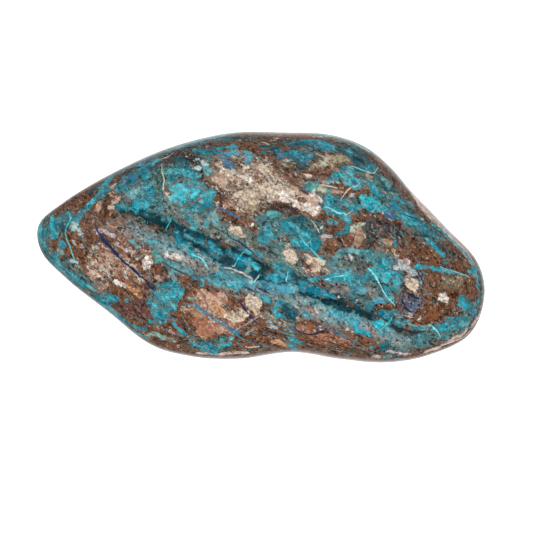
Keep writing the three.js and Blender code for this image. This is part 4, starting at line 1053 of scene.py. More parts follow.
@dataclass
class MarkingPainter:
    """Lays the markings on the stone's vertices, as depths inside each layer and as tints."""

    seed: int = 54  # start of the random draws
    # (period, reach) in mm of the waves that bend every outline
    warps: tuple[tuple[float, float], ...] = ((5.0, 0.8), (1.7, 0.3))
    feather: float = 0.8  # how softly a stain ends, mm
    stain_strength: float = 0.9  # how much of a stain's colour covers the one below
    reach: float = 3.0  # how far round a marking its depth is written, mm
    vein_reach: float = 2.5  # the same for a vein
    speck_length: float = 0.01  # length of a vein that is a single point, mm
    scattered: int = 330  # how many markings are strewn round the sides and underneath
    # a strewn marking starts below the first height, or half as often up to the second, mm
    low: tuple[float, float] = (11.0, 13.0)
    turn: float = 0.35  # how sharply it bends from point to point
    # the point over the stone that the markings are dropped from, mm
    eye: tuple[float, float, float] = (1.0, -4.0, 559.0)
    waist: float = 11.2  # height of the level at which their places are given, mm

    def paint(self, mesh: bpy.types.Mesh) -> None:
        """Writes the attributes that the finish reads.

        Args:
            mesh: the stone's mesh.
        """
        # Blender seeds noise_vector by the clock, so it is seeded here: every run bends alike.
        noise.seed_set(self.seed)
        flat = np.zeros(len(mesh.vertices) * 3)
        mesh.vertices.foreach_get("co", flat)
        places = flat.reshape(-1, 3) / MM
        normals = np.array([v.normal for v in mesh.vertices])
        bent = self._bend(places)
        tree = BVHTree.FromPolygons(places.tolist(), [p.vertices for p in mesh.polygons])
        laid = {layer: [self._drop(line, tree) for line in MARKINGS[layer]] for layer in Layer}
        for lines in laid.values():
            for _, rows in lines:
                rows[:, :3] = self._bend(rows[:, :3])
        strewn = self._strew(places, tree)
        for layer in Layer:
            lines = strewn[layer] + laid[layer]
            if layer is Layer.WASH:
                self._write_wash(mesh, lines, bent)
            elif layer is Layer.VEIN:
                self._write_veins(mesh, lines, bent, normals)
            else:
                self._write_layer(mesh, layer, lines, bent)

    def _bend(self, places: np.ndarray) -> np.ndarray:
        """Shifts places by smooth noise, so that the markings' outlines wander.

        Args:
            places: the places, in millimetres.

        Returns:
            The shifted places.
        """
        bent = places.copy()
        for period, reach in self.warps:
            bent += reach * np.array([noise.noise_vector(Vector(p) / period) for p in places])
        return bent

    def _drop(self, line: Line, tree: BVHTree) -> Laid:
        """Drops a marking's points on the upper face, each along its own sight line.

        Args:
            line: the marking, as seen from the eye.
            tree: the stone's surface, in millimetres.

        Returns:
            Its tint and its points as rows of x, y, z and half-width.
        """
        tint, *points = line
        eye = Vector(self.eye)
        rows = []
        for x, y, half_width in points:
            spot = Vector((x, y, self.waist))
            place = tree.ray_cast(eye, spot - eye)[0]
            if place is None:
                place = tree.find_nearest(spot)[0]
            rows.append((*place, half_width))
        return tint, np.array(rows)

    def _strew(self, places: np.ndarray, tree: BVHTree) -> dict[Layer, list[Laid]]:
        """Scatters markings of the same kinds over the sides and the underside.

        Args:
            places: the stone's vertices, in millimetres.
            tree: its surface, in millimetres.

        Returns:
            For each layer, its scattered markings, as _drop gives them.
        """
        draw = random.Random(self.seed)
        low, higher = self.low
        lower = [p for p in places if p[2] < low or p[2] < higher and draw.random() < 0.5]
        strewn: dict[Layer, list[Laid]] = {layer: [] for layer in Layer}
        for _ in range(self.scattered):
            kind = draw.choices(SCATTER_KINDS, [k.share for k in SCATTER_KINDS])[0]
            at = Vector(lower[draw.randrange(len(lower))])
            heading = Vector(draw.gauss(0, 1) for _ in range(3)).normalized()
            rows = []
            for _ in range(kind.steps):
                rows.append((*at, draw.uniform(*kind.half_width)))
                turn = Vector(draw.gauss(0, self.turn) for _ in range(3))
                heading = (heading + turn).normalized()
                at = tree.find_nearest(at + heading * draw.uniform(*kind.step))[0]
            strewn[kind.layer].append((draw.choice(kind.tints), np.array(rows)))
        return strewn

    def _depth(self, rows: np.ndarray, places: np.ndarray) -> np.ndarray:
        """How deep inside a marking each place is, in millimetres: below 0 is outside.

        Args:
            rows: the marking's points, as rows of x, y, z and half-width.
            places: the places, in millimetres.

        Returns:
            The depth of each place.
        """
        deepest = np.full(len(places), -FAR)
        reach = rows[:, 3].max() + self.reach
        near = np.all((places > rows[:, :3].min(0) - reach) & (places < rows[:, :3].max(0) + reach), 1)
        spots = places[near]
        starts = rows if len(rows) == 1 else rows[:-1]
        ends = rows if len(rows) == 1 else rows[1:]
        best = np.full(len(spots), -FAR)
        for start, end in zip(starts, ends):
            along = end[:3] - start[:3]
            share = np.clip((spots - start[:3]) @ along / max(along @ along, TINY), 0, 1)
            away = np.linalg.norm(spots - start[:3] - share[:, None] * along, axis=1)
            best = np.maximum(best, start[3] + share * (end[3] - start[3]) - away)
        deepest[near] = best
        return deepest

    def _write_wash(self, mesh: bpy.types.Mesh, lines: list[Laid], places: np.ndarray) -> None:
        """Writes the matrix's tint and graininess, blended softly from stain to stain.

        Args:
            mesh: the stone's mesh.
            lines: the stains.
            places: the bent places of the vertices, in millimetres.
        """
        tints = np.tile(np.array(Tint.BROWN.colour), (len(places), 1))
        grains = np.full(len(places), Tint.BROWN.grain)
        for tint, rows in lines:
            depth = self._depth(rows, places)
            cover = np.clip(0.5 + 0.5 * depth / self.feather, 0, 1) * self.stain_strength
            tints += cover[:, None] * (np.array(tint.colour) - tints)
            grains += cover * (tint.grain - grains)
        self._write(mesh, "wash_tint", "FLOAT_COLOR", tints)
        self._write(mesh, "wash_grain", "FLOAT", grains)

    def _write_layer(
        self, mesh: bpy.types.Mesh, layer: Layer, lines: list[Laid], places: np.ndarray
    ) -> None:
        """Writes a crisp layer's depth and tint.

        Args:
            mesh: the stone's mesh.
            layer: the layer.
            lines: its markings.
            places: the bent places of the vertices, in millimetres.
        """
        depths = np.full(len(places), -self.reach)
        tints = np.tile(np.array(Tint.TEAL.colour), (len(places), 1))
        for tint, rows in lines:
            depth = self._depth(rows, places)
            on_top = depth > np.minimum(depths, 0)
            tints[on_top] = tint.colour
            depths = np.maximum(depths, depth)
        self._write(mesh, f"{layer.value}_tint", "FLOAT_COLOR", tints)
        self._write(mesh, f"{layer.value}_depth", "FLOAT", depths)

    def _write_veins(
        self, mesh: bpy.types.Mesh, lines: list[Laid], places: np.ndarray, normals: np.ndarray
    ) -> None:
        """Writes the veins' tint, half-width, and how far to which side of a vein's middle a place is.

        The signed offset stays straight between vertices, so a vein may be finer than the mesh. The
        depth bounds it, because the offset also changes sign halfway between two veins.

        Args:
            mesh: the stone's mesh.
            lines: the veins.
            places: the bent places of the vertices, in millimetres.
            normals: the vertices' normals.
        """
        depths = np.full(len(places), -FAR)
        offsets = np.full(len(places), FAR)
        widths = np.full(len(places), 0.1)
        tints = np.tile(np.array(Tint.BLUE.colour), (len(places), 1))
        for tint, rows in lines:
            if len(rows) == 1:
                rows = np.vstack([rows, rows + (self.speck_length, 0, 0, 0)])
            for start, end in zip(rows[:-1], rows[1:]):
                reach = self.vein_reach + max(start[3], end[3])
                low, high = np.minimum(start, end)[:3] - reach, np.maximum(start, end)[:3] + reach
                near = np.flatnonzero(np.all((places > low) & (places < high), 1))
                along = end[:3] - start[:3]
                away = places[near] - start[:3]
                share = np.clip(away @ along / max(along @ along, TINY), 0, 1)
                away -= share[:, None] * along
                distance = np.linalg.norm(away, axis=1)
                half = start[3] + share * (end[3] - start[3])
                side = np.sign(np.einsum("ij,ij->i", np.cross(normals[near], along), away))
                closer = half - distance > depths[near]
                chosen = near[closer]
                depths[chosen] = (half - distance)[closer]
                offsets[chosen] = (side * distance)[closer]
                widths[chosen] = half[closer]
                tints[chosen] = tint.colour
        self._write(mesh, "vein_tint", "FLOAT_COLOR", tints)
        self._write(mesh, "vein_width", "FLOAT", widths)
        self._write(mesh, "vein_offset", "FLOAT", offsets)
        self._write(mesh, "vein_depth", "FLOAT", depths)

    @staticmethod
    def _write(mesh: bpy.types.Mesh, name: str, kind: str, values: np.ndarray) -> None:
        """Writes one attribute of the mesh's vertices."""
        attribute = mesh.attributes.new(name, kind, "POINT")
        attribute.data.foreach_set("color" if kind == "FLOAT_COLOR" else "value", values.ravel())


# ---- Finishes ----


def add(tree: Tree, kind: str, inputs: dict | None = None, **settings: object) -> bpy.types.Node:
    """Adds a node with its settings and links.

    Args:
        tree: the node tree.
        kind: the node's type, without the leading "ShaderNode".
        inputs: a value or an output socket for each named or numbered input.
        **settings: the node's own properties.

    Returns:
        The new node.
    """
    node = tree.nodes.new("ShaderNode" + kind)
    for name, value in settings.items():
        setattr(node, name, value)
    for key, value in (inputs or {}).items():
        if isinstance(value, Socket):
            tree.links.new(value, node.inputs[key])
        else:
            node.inputs[key].default_value = value
    return node


# Levels of the noise that the patterns are cut from: it stays mostly inside the first two.
NOISE_LOW, NOISE_HIGH = 0.3, 0.7
FLECK_START, FLECK_FULL = 0.64, 0.69  # a fleck's edge lies between these
FLECK_GAIN = 0.17  # how far the amount of flecks moves that edge
HAIRLINE_CORE = 0.3  # the share of a hairline's half-width that has its full colour
GAP_START, GAP_FULL = -0.04, 0.06  # a web fades out between these, round the level of its gaps


def per_metre(period_mm: float) -> float:
    """The scale that gives a pattern on coordinates in metres this period in millimetres."""
    return 1 / (period_mm * MM)


@dataclass(frozen=True)
class Clouds:
    """Lighter and darker clouds in a mineral."""

    size: float  # their spacing, mm
    low: float  # the darkest share of the mineral's colour
    high: float  # the lightest


@dataclass(frozen=True)
class Flecks:
    """A kind of ragged fleck in a mineral."""

    size: float  # the flecks' spacing, mm
    amount: float  # how many there are: 0 leaves a few, and 1 covers half
    # their hex colour, or the shares of red, green and blue that they leave
    colour: str | tuple[float, float, float]
    shift: float  # moves the pattern, m, so that two kinds don't coincide
    strength: float = 1.0  # how strongly they show


@dataclass(frozen=True)
class Web:
    """A broken network of hairlines."""

    size: float  # its cells' size, mm
    width: float  # the lines' half-width, mm: as fine as the picture can show
    gap_size: float  # the spacing of the stretches that are missing, mm
    gap: float  # how much is missing, from 0 to 1
    colour: str  # the lines' hex colour
    strength: float = 1.0  # how strongly they show


@dataclass(frozen=True)
class PolishedChrysocolla:
    """Chrysocolla in iron-stained breccia, ground and polished: a glassy skin over mixed minerals.

    The finest specks are drawn as coarse as they need to be to show.
    """

    # (period, reach) in mm of the waves that take the straight sides off cells and webs
    bend: tuple[float, float] = (1.3, 0.9)
    edge_period: float = 1.1  # the length of the finest bends in the minerals' outlines, mm
    edge_soft: float = 0.08  # half the width of the change from one mineral to the next, mm
    clast_wander: float = 0.9  # how far a clast's outline wanders, mm
    clast_growth: float = 0.05  # how far a clast reaches past its marking, mm
    copper_wander: float = 0.72  # how far a copper mass's outline wanders, mm
    copper_growth: float = 0.3  # how far it reaches past its marking, mm
    copper_rim: float = 0.35  # how deep the darker rim of a copper mass is, mm
    vein_period: float = 0.9  # the length of the veins' finest waves, mm
    vein_wander: float = 0.36  # how far they wander, mm
    swell_size: float = 1.7  # spacing of the places where a vein is widest, mm
    vein_swell: tuple[float, float] = (0.4, 0.95)  # the shares of its width between which a vein swells
    # a vein fades in between these depths, mm: further out, its offset belongs to no one vein
    vein_end: tuple[float, float] = (-0.5, -0.35)
    grain_heading: float = math.radians(-38)  # which way the stone's grain runs, turned from +X
    draw: float = 1.7  # how much longer the flecks are along the grain than across it
    quartz: str = "#d0c4b4"  # colour of clean quartz grains
    stained_quartz: str = "#ac8d78"  # colour of iron-stained ones
    stain_size: float = 1.9  # spacing of the stained places, mm
    grain_size: float = 0.58  # spacing of the fine quartz grains, mm
    grain_growth: float = 2.2  # how many times larger the coarse ones are
    grain_strength: float = 0.85  # how strongly they cover the matrix
    # (factor, start) that turn a stain's graininess into an amount of grains
    grain_gain: tuple[float, float] = (1.25, -0.25)
    matrix_clouds: Clouds = Clouds(2.8, 0.6, 1.35)
    clast_clouds: Clouds = Clouds(1.0, 0.58, 1.12)
    copper_clouds: Clouds = Clouds(2.2, 0.5, 1.28)  # wide clouds in the chrysocolla
    copper_streaks: Clouds = Clouds(0.88, 0.8, 1.25)  # narrower ones, drawn out along its grain
    vein_clouds: Clouds = Clouds(0.9, 0.75, 1.2)
    all_clouds: Clouds = Clouds(0.5, 0.64, 1.42)  # the finest mottling, over everything
    matrix_patches: tuple[Flecks, ...] = (  # broad flecks along the grain of the matrix
        Flecks(1.3, 0.45, (0.42, 0.38, 0.36), 0.03),
        Flecks(0.9, 0.4, (1.75, 1.6, 1.5), 0.05),
    )
    matrix_specks: tuple[Flecks, ...] = (  # fine flecks that lie any way
        Flecks(1.0, 0.35, "#7b6c60", 0.23, 0.7),
        Flecks(0.7, 0.2, "#80563b", 0.27, 0.7),
        Flecks(0.5, 0.0, "#d0c4b4", 0.15, 0.7),
        Flecks(0.8, 0.1, "#3b93a0", 0.17, 0.7),
        Flecks(0.5, 0.1, "#46506a", 0.19, 0.7),
    )
    matrix_pits: Flecks = Flecks(0.6, 0.6, (0.24, 0.22, 0.22), 0.07)  # the matrix's dark grains
    clast_stain: Flecks = Flecks(0.7, 0.7, "#7d533c", 0.05, 0.7)  # brown worked into the clasts
    copper_wisps: tuple[Flecks, ...] = (  # pale wisps in the chrysocolla, cyan and ash
        Flecks(2.1, 0.55, "#66c9cf", 0.09, 0.5),
        Flecks(1.1, 0.5, "#8d8a80", 0.21, 0.5),
    )
    copper_deeps: Flecks = Flecks(1.5, 0.6, (0.26, 0.48, 0.55), 0.11)  # its deep blue-green flecks
    copper_holes: Flecks = Flecks(1.2, 0.15, "#000000", 0.13, 0.8)  # where the matrix shows through it
    # copper that ran into the matrix's cracks
    copper_threads: Web = Web(4.2, 0.08, 3.7, 0.52, "#2f97a1", 0.6)
    clast_cracks: Web = Web(1.9, 0.06, 2.3, 0.54, "#5b3b2a", 0.6)
    copper_glints: Web = Web(1.5, 0.07, 2.4, 0.5, "#7fd3d6", 0.5)  # the chrysocolla's palest hairlines
    copper_webs: tuple[Web, ...] = (  # its brown and its dark blue-green hairlines
        Web(2.6, 0.07, 3.3, 0.5, "#5c5244"),
        Web(1.0, 0.05, 2.1, 0.55, "#17505a"),
    )
    # grey levels between which a mass goes from plain to full of wisps
    dark: tuple[float, float] = (0.04, 0.14)
    veil_size: float = 1.7  # spacing of the places where the chrysocolla is thin, mm
    veil: float = 0.68  # how much it still covers there
    rim_colour: str = "#1d5a63"  # colour of a mass's rim
    rim_strength: float = 0.4  # how strongly the rim shows
    haze_size: float = 2.0  # spacing of the cloudy patches in the polish, mm
    roughness: tuple[float, float] = (0.10, 0.22)  # the polish at its best and at its worst
    copper_gloss: float = 0.06  # how much smoother the polish is on chrysocolla
    grit_size: float = 0.8  # spacing of the finest unevenness, mm
    relief: float = 0.03  # height of the surface's unevenness, mm
    step_share: float = 0.5  # the steps between hard and soft minerals, as a share of it
    ior: float = 1.46  # of quartz and chrysocolla, which share the surface

    def build(self) -> bpy.types.Material:
        """Makes the stone's material.

        Returns:
            The finished material.
        """
        # Polishing leaves a glassy skin: the minerals look deep and wet, with soft lights on the crests.
        material = bpy.data.materials.new("Chrysocolla breccia, ground and polished")
        material.use_nodes = True
        tree = material.node_tree
        tree.nodes.clear()
        place = add(tree, "TexCoord").outputs["Object"]
        bent = self._bent_place(tree, place)
        inputs = {"Vector": bent, "Rotation": (0.0, 0.0, self.grain_heading)}
        inputs["Scale"] = (self.draw, 1.0, 1.0)
        drawn = add(tree, "Mapping", inputs, vector_type="TEXTURE").outputs[0]
        colour = self._matrix(tree, place, drawn)
        colour, clast_cover = self._clasts(tree, place, bent, drawn, colour)
        colour, copper_cover = self._chrysocolla(tree, place, bent, drawn, colour)
        colour, vein_cover = self._veins(tree, place, colour)
        colour = self._clouded(tree, colour, place, self.all_clouds)
        cover = add(tree, "Math", {0: copper_cover, 1: vein_cover}, operation="MAXIMUM").outputs[0]
        inputs = {
            "Base Color": colour,
            "Roughness": self._roughness(tree, place, cover),
            "Normal": self._relief(tree, place, clast_cover, cover),
            "IOR": self.ior,
        }
        shader = add(tree, "BsdfPrincipled", inputs)
        add(tree, "OutputMaterial", {"Surface": shader.outputs[0]})
        return material

    def _bent_place(self, tree: Tree, place: Socket) -> Socket:
        """Bends the coordinates a little, so that cells and webs lose their straight sides.

        Args:
            tree: the node tree.
            place: the coordinates.

        Returns:
            The bent coordinates.
        """
        period, reach = self.bend
        waves = add(tree, "TexNoise", {"Vector": place, "Scale": per_metre(period), "Detail": 3.0})
        inputs = {0: waves.outputs["Color"], 1: (reach * MM,) * 3, 2: place}
        return add(tree, "VectorMath", inputs, operation="MULTIPLY_ADD").outputs[0]

    def _cover(
        self, tree: Tree, place: Socket, layer: Layer, wander: float, growth: float
    ) -> tuple[Socket, Socket]:
        """Where a layer shows: its depth, with a ragged edge.

        Args:
            tree: the node tree.
            place: the coordinates.
            layer: the layer.
            wander: how far its edge wanders, in millimetres.
            growth: how far the edge lies outside the marking's own outline, in millimetres.

        Returns:
            The cover, from 0 to 1, and the ragged depth in millimetres.
        """
        depth = add(tree, "Attribute", attribute_name=f"{layer.value}_depth").outputs["Fac"]
        inputs = {"Vector": place, "Scale": per_metre(self.edge_period), "Detail": 4.0, "Roughness": 0.65}
        waves = add(tree, "TexNoise", inputs).outputs["Fac"]
        middle = 0.5 - growth / (2 * wander)
        shift = add(tree, "Math", {0: waves, 1: middle}, operation="SUBTRACT").outputs[0]
        inputs = {0: shift, 1: 2 * wander, 2: depth}
        ragged = add(tree, "Math", inputs, operation="MULTIPLY_ADD").outputs[0]
        inputs = {"Value": ragged, "From Min": -self.edge_soft, "From Max": self.edge_soft}
        return add(tree, "MapRange", inputs).outputs["Result"], ragged

    @staticmethod
    def _clouded(tree: Tree, colour: Socket, place: Socket, clouds: Clouds) -> Socket:
        """Makes a colour lighter and darker in clouds.

        Args:
            tree: the node tree.
            colour: the colour.
            place: the coordinates.
            clouds: the clouds.

        Returns:
            The clouded colour.
        """
        inputs = {"Vector": place, "Scale": per_metre(clouds.size), "Detail": 5.0, "Roughness": 0.62}
        share = add(tree, "TexNoise", inputs).outputs["Fac"]
        inputs = {"Value": share, "From Min": NOISE_LOW, "From Max": NOISE_HIGH}
        inputs |= {"To Min": clouds.low, "To Max": clouds.high}
        share = add(tree, "MapRange", inputs).outputs["Result"]
        return add(tree, "VectorMath", {0: colour, "Scale": share}, operation="SCALE").outputs[0]

    @staticmethod
    def _scattered(tree: Tree, place: Socket, size: float, amount: Socket | float, shift: float) -> Socket:
        """Where ragged flecks lie.

        Args:
            tree: the node tree.
            place: the coordinates.
            size: the flecks' spacing, in millimetres.
            amount: how many there are, from 0 to 1.
            shift: moves the pattern, in metres.

        Returns:
            The flecks, from 0 to 1.
        """
        moved = add(tree, "VectorMath", {0: place, 1: (shift, 0.0, shift)}).outputs[0]
        inputs = {"Vector": moved, "Scale": per_metre(size), "Detail": 3.0, "Roughness": 0.7}
        waves = add(tree, "TexNoise", inputs).outputs["Fac"]
        level = add(tree, "Math", {0: amount, 1: FLECK_GAIN, 2: waves}, operation="MULTIPLY_ADD").outputs[0]
        inputs = {"Value": level, "From Min": FLECK_START, "From Max": FLECK_FULL}
        return add(tree, "MapRange", inputs).outputs["Result"]

    def _flecked(
        self, tree: Tree, colour: Socket, place: Socket, flecks: Flecks, share: Socket | float = 1.0
    ) -> Socket:
        """Strews flecks over a colour.

        Args:
            tree: the node tree.
            colour: the colour.
            place: the coordinates.
            flecks: the flecks.
            share: weakens them from place to place.

        Returns:
            The flecked colour.
        """
        shown = self._scattered(tree, place, flecks.size, flecks.amount, flecks.shift)
        shown = add(tree, "Math", {0: shown, 1: flecks.strength}, operation="MULTIPLY").outputs[0]
        shown = add(tree, "Math", {0: shown, 1: share}, operation="MULTIPLY").outputs[0]
        if isinstance(flecks.colour, str):
            other = linear(flecks.colour)
        else:
            other = add(tree, "VectorMath", {0: colour, 1: flecks.colour}, operation="MULTIPLY").outputs[0]
        return add(tree, "Mix", {0: shown, 6: colour, 7: other}, data_type="RGBA").outputs[2]

    @staticmethod
    def _webbed(tree: Tree, colour: Socket, place: Socket, web: Web, share: Socket | float = 1.0) -> Socket:
        """Lays a web of hairlines over a colour.

        Args:
            tree: the node tree.
            colour: the colour.
            place: the coordinates.
            web: the web.
            share: weakens it from place to place.

        Returns:
            The webbed colour.
        """
        inputs = {"Vector": place, "Scale": per_metre(web.size)}
        cells = add(tree, "TexVoronoi", inputs, feature="DISTANCE_TO_EDGE").outputs["Distance"]
        edge = web.width / web.size
        inputs = {"Value": cells, "From Min": edge, "From Max": HAIRLINE_CORE * edge}
        line = add(tree, "MapRange", inputs).outputs["Result"]
        inputs = {"Vector": place, "Scale": per_metre(web.gap_size), "Detail": 2.0}
        kept = add(tree, "TexNoise", inputs).outputs["Fac"]
        inputs = {"Value": kept, "From Min": web.gap + GAP_START, "From Max": web.gap + GAP_FULL}
        inputs["To Max"] = web.strength
        kept = add(tree, "MapRange", inputs).outputs["Result"]
        line = add(tree, "Math", {0: line, 1: kept}, operation="MULTIPLY").outputs[0]
        line = add(tree, "Math", {0: line, 1: share}, operation="MULTIPLY").outputs[0]
        return add(tree, "Mix", {0: line, 6: colour, 7: linear(web.colour)}, data_type="RGBA").outputs[2]

    def _matrix(self, tree: Tree, place: Socket, drawn: Socket) -> Socket:
        """The matrix with its stains, quartz grains, dark flecks and copper threads.

        Args:
            tree: the node tree.
            place: the coordinates.
            drawn: the coordinates drawn out along the stone's grain.

        Returns:
            The matrix's colour.
        """
        colour = add(tree, "Attribute", attribute_name="wash_tint").outputs["Color"]
        grain = add(tree, "Attribute", attribute_name="wash_grain").outputs["Fac"]
        gain, start = self.grain_gain
        grain = add(tree, "Math", {0: grain, 1: gain, 2: start}, operation="MULTIPLY_ADD").outputs[0]
        colour = self._clouded(tree, colour, place, self.matrix_clouds)
        for flecks in self.matrix_patches:
            colour = self._flecked(tree, colour, drawn, flecks)
        inputs = {"Vector": place, "Scale": per_metre(self.stain_size), "Detail": 3.0}
        pick = add(tree, "TexNoise", inputs).outputs["Fac"]
        pick = add(tree, "MapRange", {"Value": pick, "From Min": 0.4, "From Max": 0.6}).outputs["Result"]
        inputs = {0: pick, 6: linear(self.quartz), 7: linear(self.stained_quartz)}
        quartz = add(tree, "Mix", inputs, data_type="RGBA").outputs[2]
        for size, shift in ((self.grain_growth * self.grain_size, 0.01), (self.grain_size, 0.02)):
            shown = self._scattered(tree, drawn, size, grain, shift)
            shown = add(tree, "Math", {0: shown, 1: self.grain_strength}, operation="MULTIPLY").outputs[0]
            colour = add(tree, "Mix", {0: shown, 6: colour, 7: quartz}, data_type="RGBA").outputs[2]
        for flecks in self.matrix_specks:
            colour = self._flecked(tree, colour, place, flecks)
        colour = self._flecked(tree, colour, drawn, self.matrix_pits)
        return self._webbed(tree, colour, drawn, self.copper_threads)

    def _clasts(
        self, tree: Tree, place: Socket, bent: Socket, drawn: Socket, under: Socket
    ) -> tuple[Socket, Socket]:
        """The pale clasts over the matrix, with brown worked into them.

        Args:
            tree: the node tree.
            place: the coordinates.
            bent: the bent coordinates.
            drawn: the coordinates drawn out along the stone's grain.
            under: the colour below.

        Returns:
            The colour with the clasts in it, and where they are.
        """
        cover, _ = self._cover(tree, place, Layer.CLAST, self.clast_wander, self.clast_growth)
        colour = add(tree, "Attribute", attribute_name="clast_tint").outputs["Color"]
        colour = self._clouded(tree, colour, place, self.clast_clouds)
        colour = self._flecked(tree, colour, drawn, self.clast_stain)
        colour = self._webbed(tree, colour, bent, self.clast_cracks)
        return add(tree, "Mix", {0: cover, 6: under, 7: colour}, data_type="RGBA").outputs[2], cover

    def _chrysocolla(
        self, tree: Tree, place: Socket, bent: Socket, drawn: Socket, under: Socket
    ) -> tuple[Socket, Socket]:
        """The turquoise masses: clouded, webbed with brown hairlines and darker at the edge.

        Args:
            tree: the node tree.
            place: the coordinates.
            bent: the bent coordinates.
            drawn: the coordinates drawn out along the stone's grain.
            under: the colour below.

        Returns:
            The colour with the masses in it, and where they are.
        """
        cover, ragged = self._cover(tree, place, Layer.COPPER, self.copper_wander, self.copper_growth)
        tint = add(tree, "Attribute", attribute_name="copper_tint").outputs["Color"]
        colour = self._clouded(tree, tint, place, self.copper_clouds)
        colour = self._clouded(tree, colour, drawn, self.copper_streaks)
        # Dark masses have next to no pale wisps or hairlines.
        grey = add(tree, "RGBToBW", {"Color": tint}).outputs[0]
        inputs = {"Value": grey, "From Min": self.dark[0], "From Max": self.dark[1]}
        lively = add(tree, "MapRange", inputs).outputs["Result"]
        for flecks in self.copper_wisps:
            colour = self._flecked(tree, colour, drawn, flecks, lively)
        colour = self._flecked(tree, colour, drawn, self.copper_deeps)
        colour = self._webbed(tree, colour, bent, self.copper_glints, lively)
        for web, where in zip(self.copper_webs, (drawn, bent)):
            colour = self._webbed(tree, colour, where, web)
        inputs = {"Value": ragged, "From Max": self.copper_rim, "To Min": self.rim_strength, "To Max": 0.0}
        rim = add(tree, "MapRange", inputs).outputs["Result"]
        inputs = {0: rim, 6: colour, 7: linear(self.rim_colour)}
        colour = add(tree, "Mix", inputs, data_type="RGBA").outputs[2]
        holes = self.copper_holes
        holed = self._scattered(tree, drawn, holes.size, holes.amount, holes.shift)
        inputs = {0: holed, 1: -holes.strength, 2: 1.0}
        kept = add(tree, "Math", inputs, operation="MULTIPLY_ADD").outputs[0]
        inputs = {"Vector": drawn, "Scale": per_metre(self.veil_size), "Detail": 4.0}
        veil = add(tree, "TexNoise", inputs).outputs["Fac"]
        inputs = {"Value": veil, "From Min": 0.35, "From Max": 0.55, "To Min": self.veil}
        veil = add(tree, "MapRange", inputs).outputs["Result"]
        kept = add(tree, "Math", {0: kept, 1: veil}, operation="MULTIPLY").outputs[0]
        cover = add(tree, "Math", {0: cover, 1: kept}, operation="MULTIPLY").outputs[0]
        return add(tree, "Mix", {0: cover, 6: under, 7: colour}, data_type="RGBA").outputs[2], cover

    def _veins(self, tree: Tree, place: Socket, under: Socket) -> tuple[Socket, Socket]:
        """The fine veins, lenses and specks on top.

        Args:
            tree: the node tree.
            place: the coordinates.
            under: the colour below.

        Returns:
            The finished colour, and where the veins are.
        """
        offset, width, depth = (
            add(tree, "Attribute", attribute_name=f"vein_{name}").outputs["Fac"]
            for name in ("offset", "width", "depth")
        )
        inputs = {"Vector": place, "Scale": per_metre(self.vein_period), "Detail": 4.0}
        waves = add(tree, "TexNoise", inputs)
        shift = add(tree, "Math", {0: waves.outputs["Fac"], 1: 0.5}, operation="SUBTRACT").outputs[0]
        inputs = {0: shift, 1: self.vein_wander, 2: offset}
        offset = add(tree, "Math", inputs, operation="MULTIPLY_ADD").outputs[0]
        side = add(tree, "Math", {0: offset}, operation="ABSOLUTE").outputs[0]
        inputs = {"Vector": place, "Scale": per_metre(self.swell_size), "Detail": 3.0}
        swell = add(tree, "TexNoise", inputs).outputs["Fac"]
        least, most = self.vein_swell
        inputs = {"Value": swell, "From Min": 0.35, "From Max": 0.65, "To Min": least, "To Max": most}
        swell = add(tree, "MapRange", inputs).outputs["Result"]
        width = add(tree, "Math", {0: width, 1: swell}, operation="MULTIPLY").outputs[0]
        inside = add(tree, "Math", {0: width, 1: side}, operation="SUBTRACT").outputs[0]
        inputs = {"Value": inside, "From Min": -self.edge_soft, "From Max": self.edge_soft}
        line = add(tree, "MapRange", inputs).outputs["Result"]
        inputs = {"Value": depth, "From Min": self.vein_end[0], "From Max": self.vein_end[1]}
        near = add(tree, "MapRange", inputs).outputs["Result"]
        cover = add(tree, "Math", {0: line, 1: near}, operation="MULTIPLY").outputs[0]
        colour = add(tree, "Attribute", attribute_name="vein_tint").outputs["Color"]
        colour = self._clouded(tree, colour, place, self.vein_clouds)
        return add(tree, "Mix", {0: cover, 6: under, 7: colour}, data_type="RGBA").outputs[2], cover

    def _roughness(self, tree: Tree, place: Socket, cover: Socket) -> Socket:
        """The polish: glassy on chrysocolla, a little duller on the softer matrix, cloudy all over.

        Args:
            tree: the node tree.
            place: the coordinates.
            cover: where chrysocolla is.

        Returns:
            The roughness.
        """
        best, worst = self.roughness
        haze = add(tree, "TexNoise", {"Vector": place, "Scale": per_metre(self.haze_size), "Detail": 5.0})
        haze = haze.outputs["Fac"]
        inputs = {"Value": haze, "From Min": NOISE_LOW, "From Max": NOISE_HIGH}
        inputs |= {"To Min": best, "To Max": worst}
        dull = add(tree, "MapRange", inputs).outputs["Result"]
        inputs = {0: cover, 1: -self.copper_gloss, 2: dull}
        return add(tree, "Math", inputs, operation="MULTIPLY_ADD").outputs[0]

    def _relief(self, tree: Tree, place: Socket, clast_cover: Socket, cover: Socket) -> Socket:
        """The faint steps between hard and soft minerals, and the grain that polishing left.

        Args:
            tree: the node tree.
            place: the coordinates.
            clast_cover: where the clasts are.
            cover: where chrysocolla is.

        Returns:
            The bumped normal.
        """
        grit = add(tree, "TexNoise", {"Vector": place, "Scale": per_metre(self.grit_size), "Detail": 4.0})
        hard = add(tree, "Math", {0: clast_cover, 1: cover}, operation="MAXIMUM").outputs[0]
        inputs = {0: hard, 1: self.step_share, 2: grit.outputs["Fac"]}
        height = add(tree, "Math", inputs, operation="MULTIPLY_ADD").outputs[0]
        inputs = {"Height": height, "Strength": 0.5, "Distance": self.relief * MM}
        return add(tree, "Bump", inputs).outputs["Normal"]


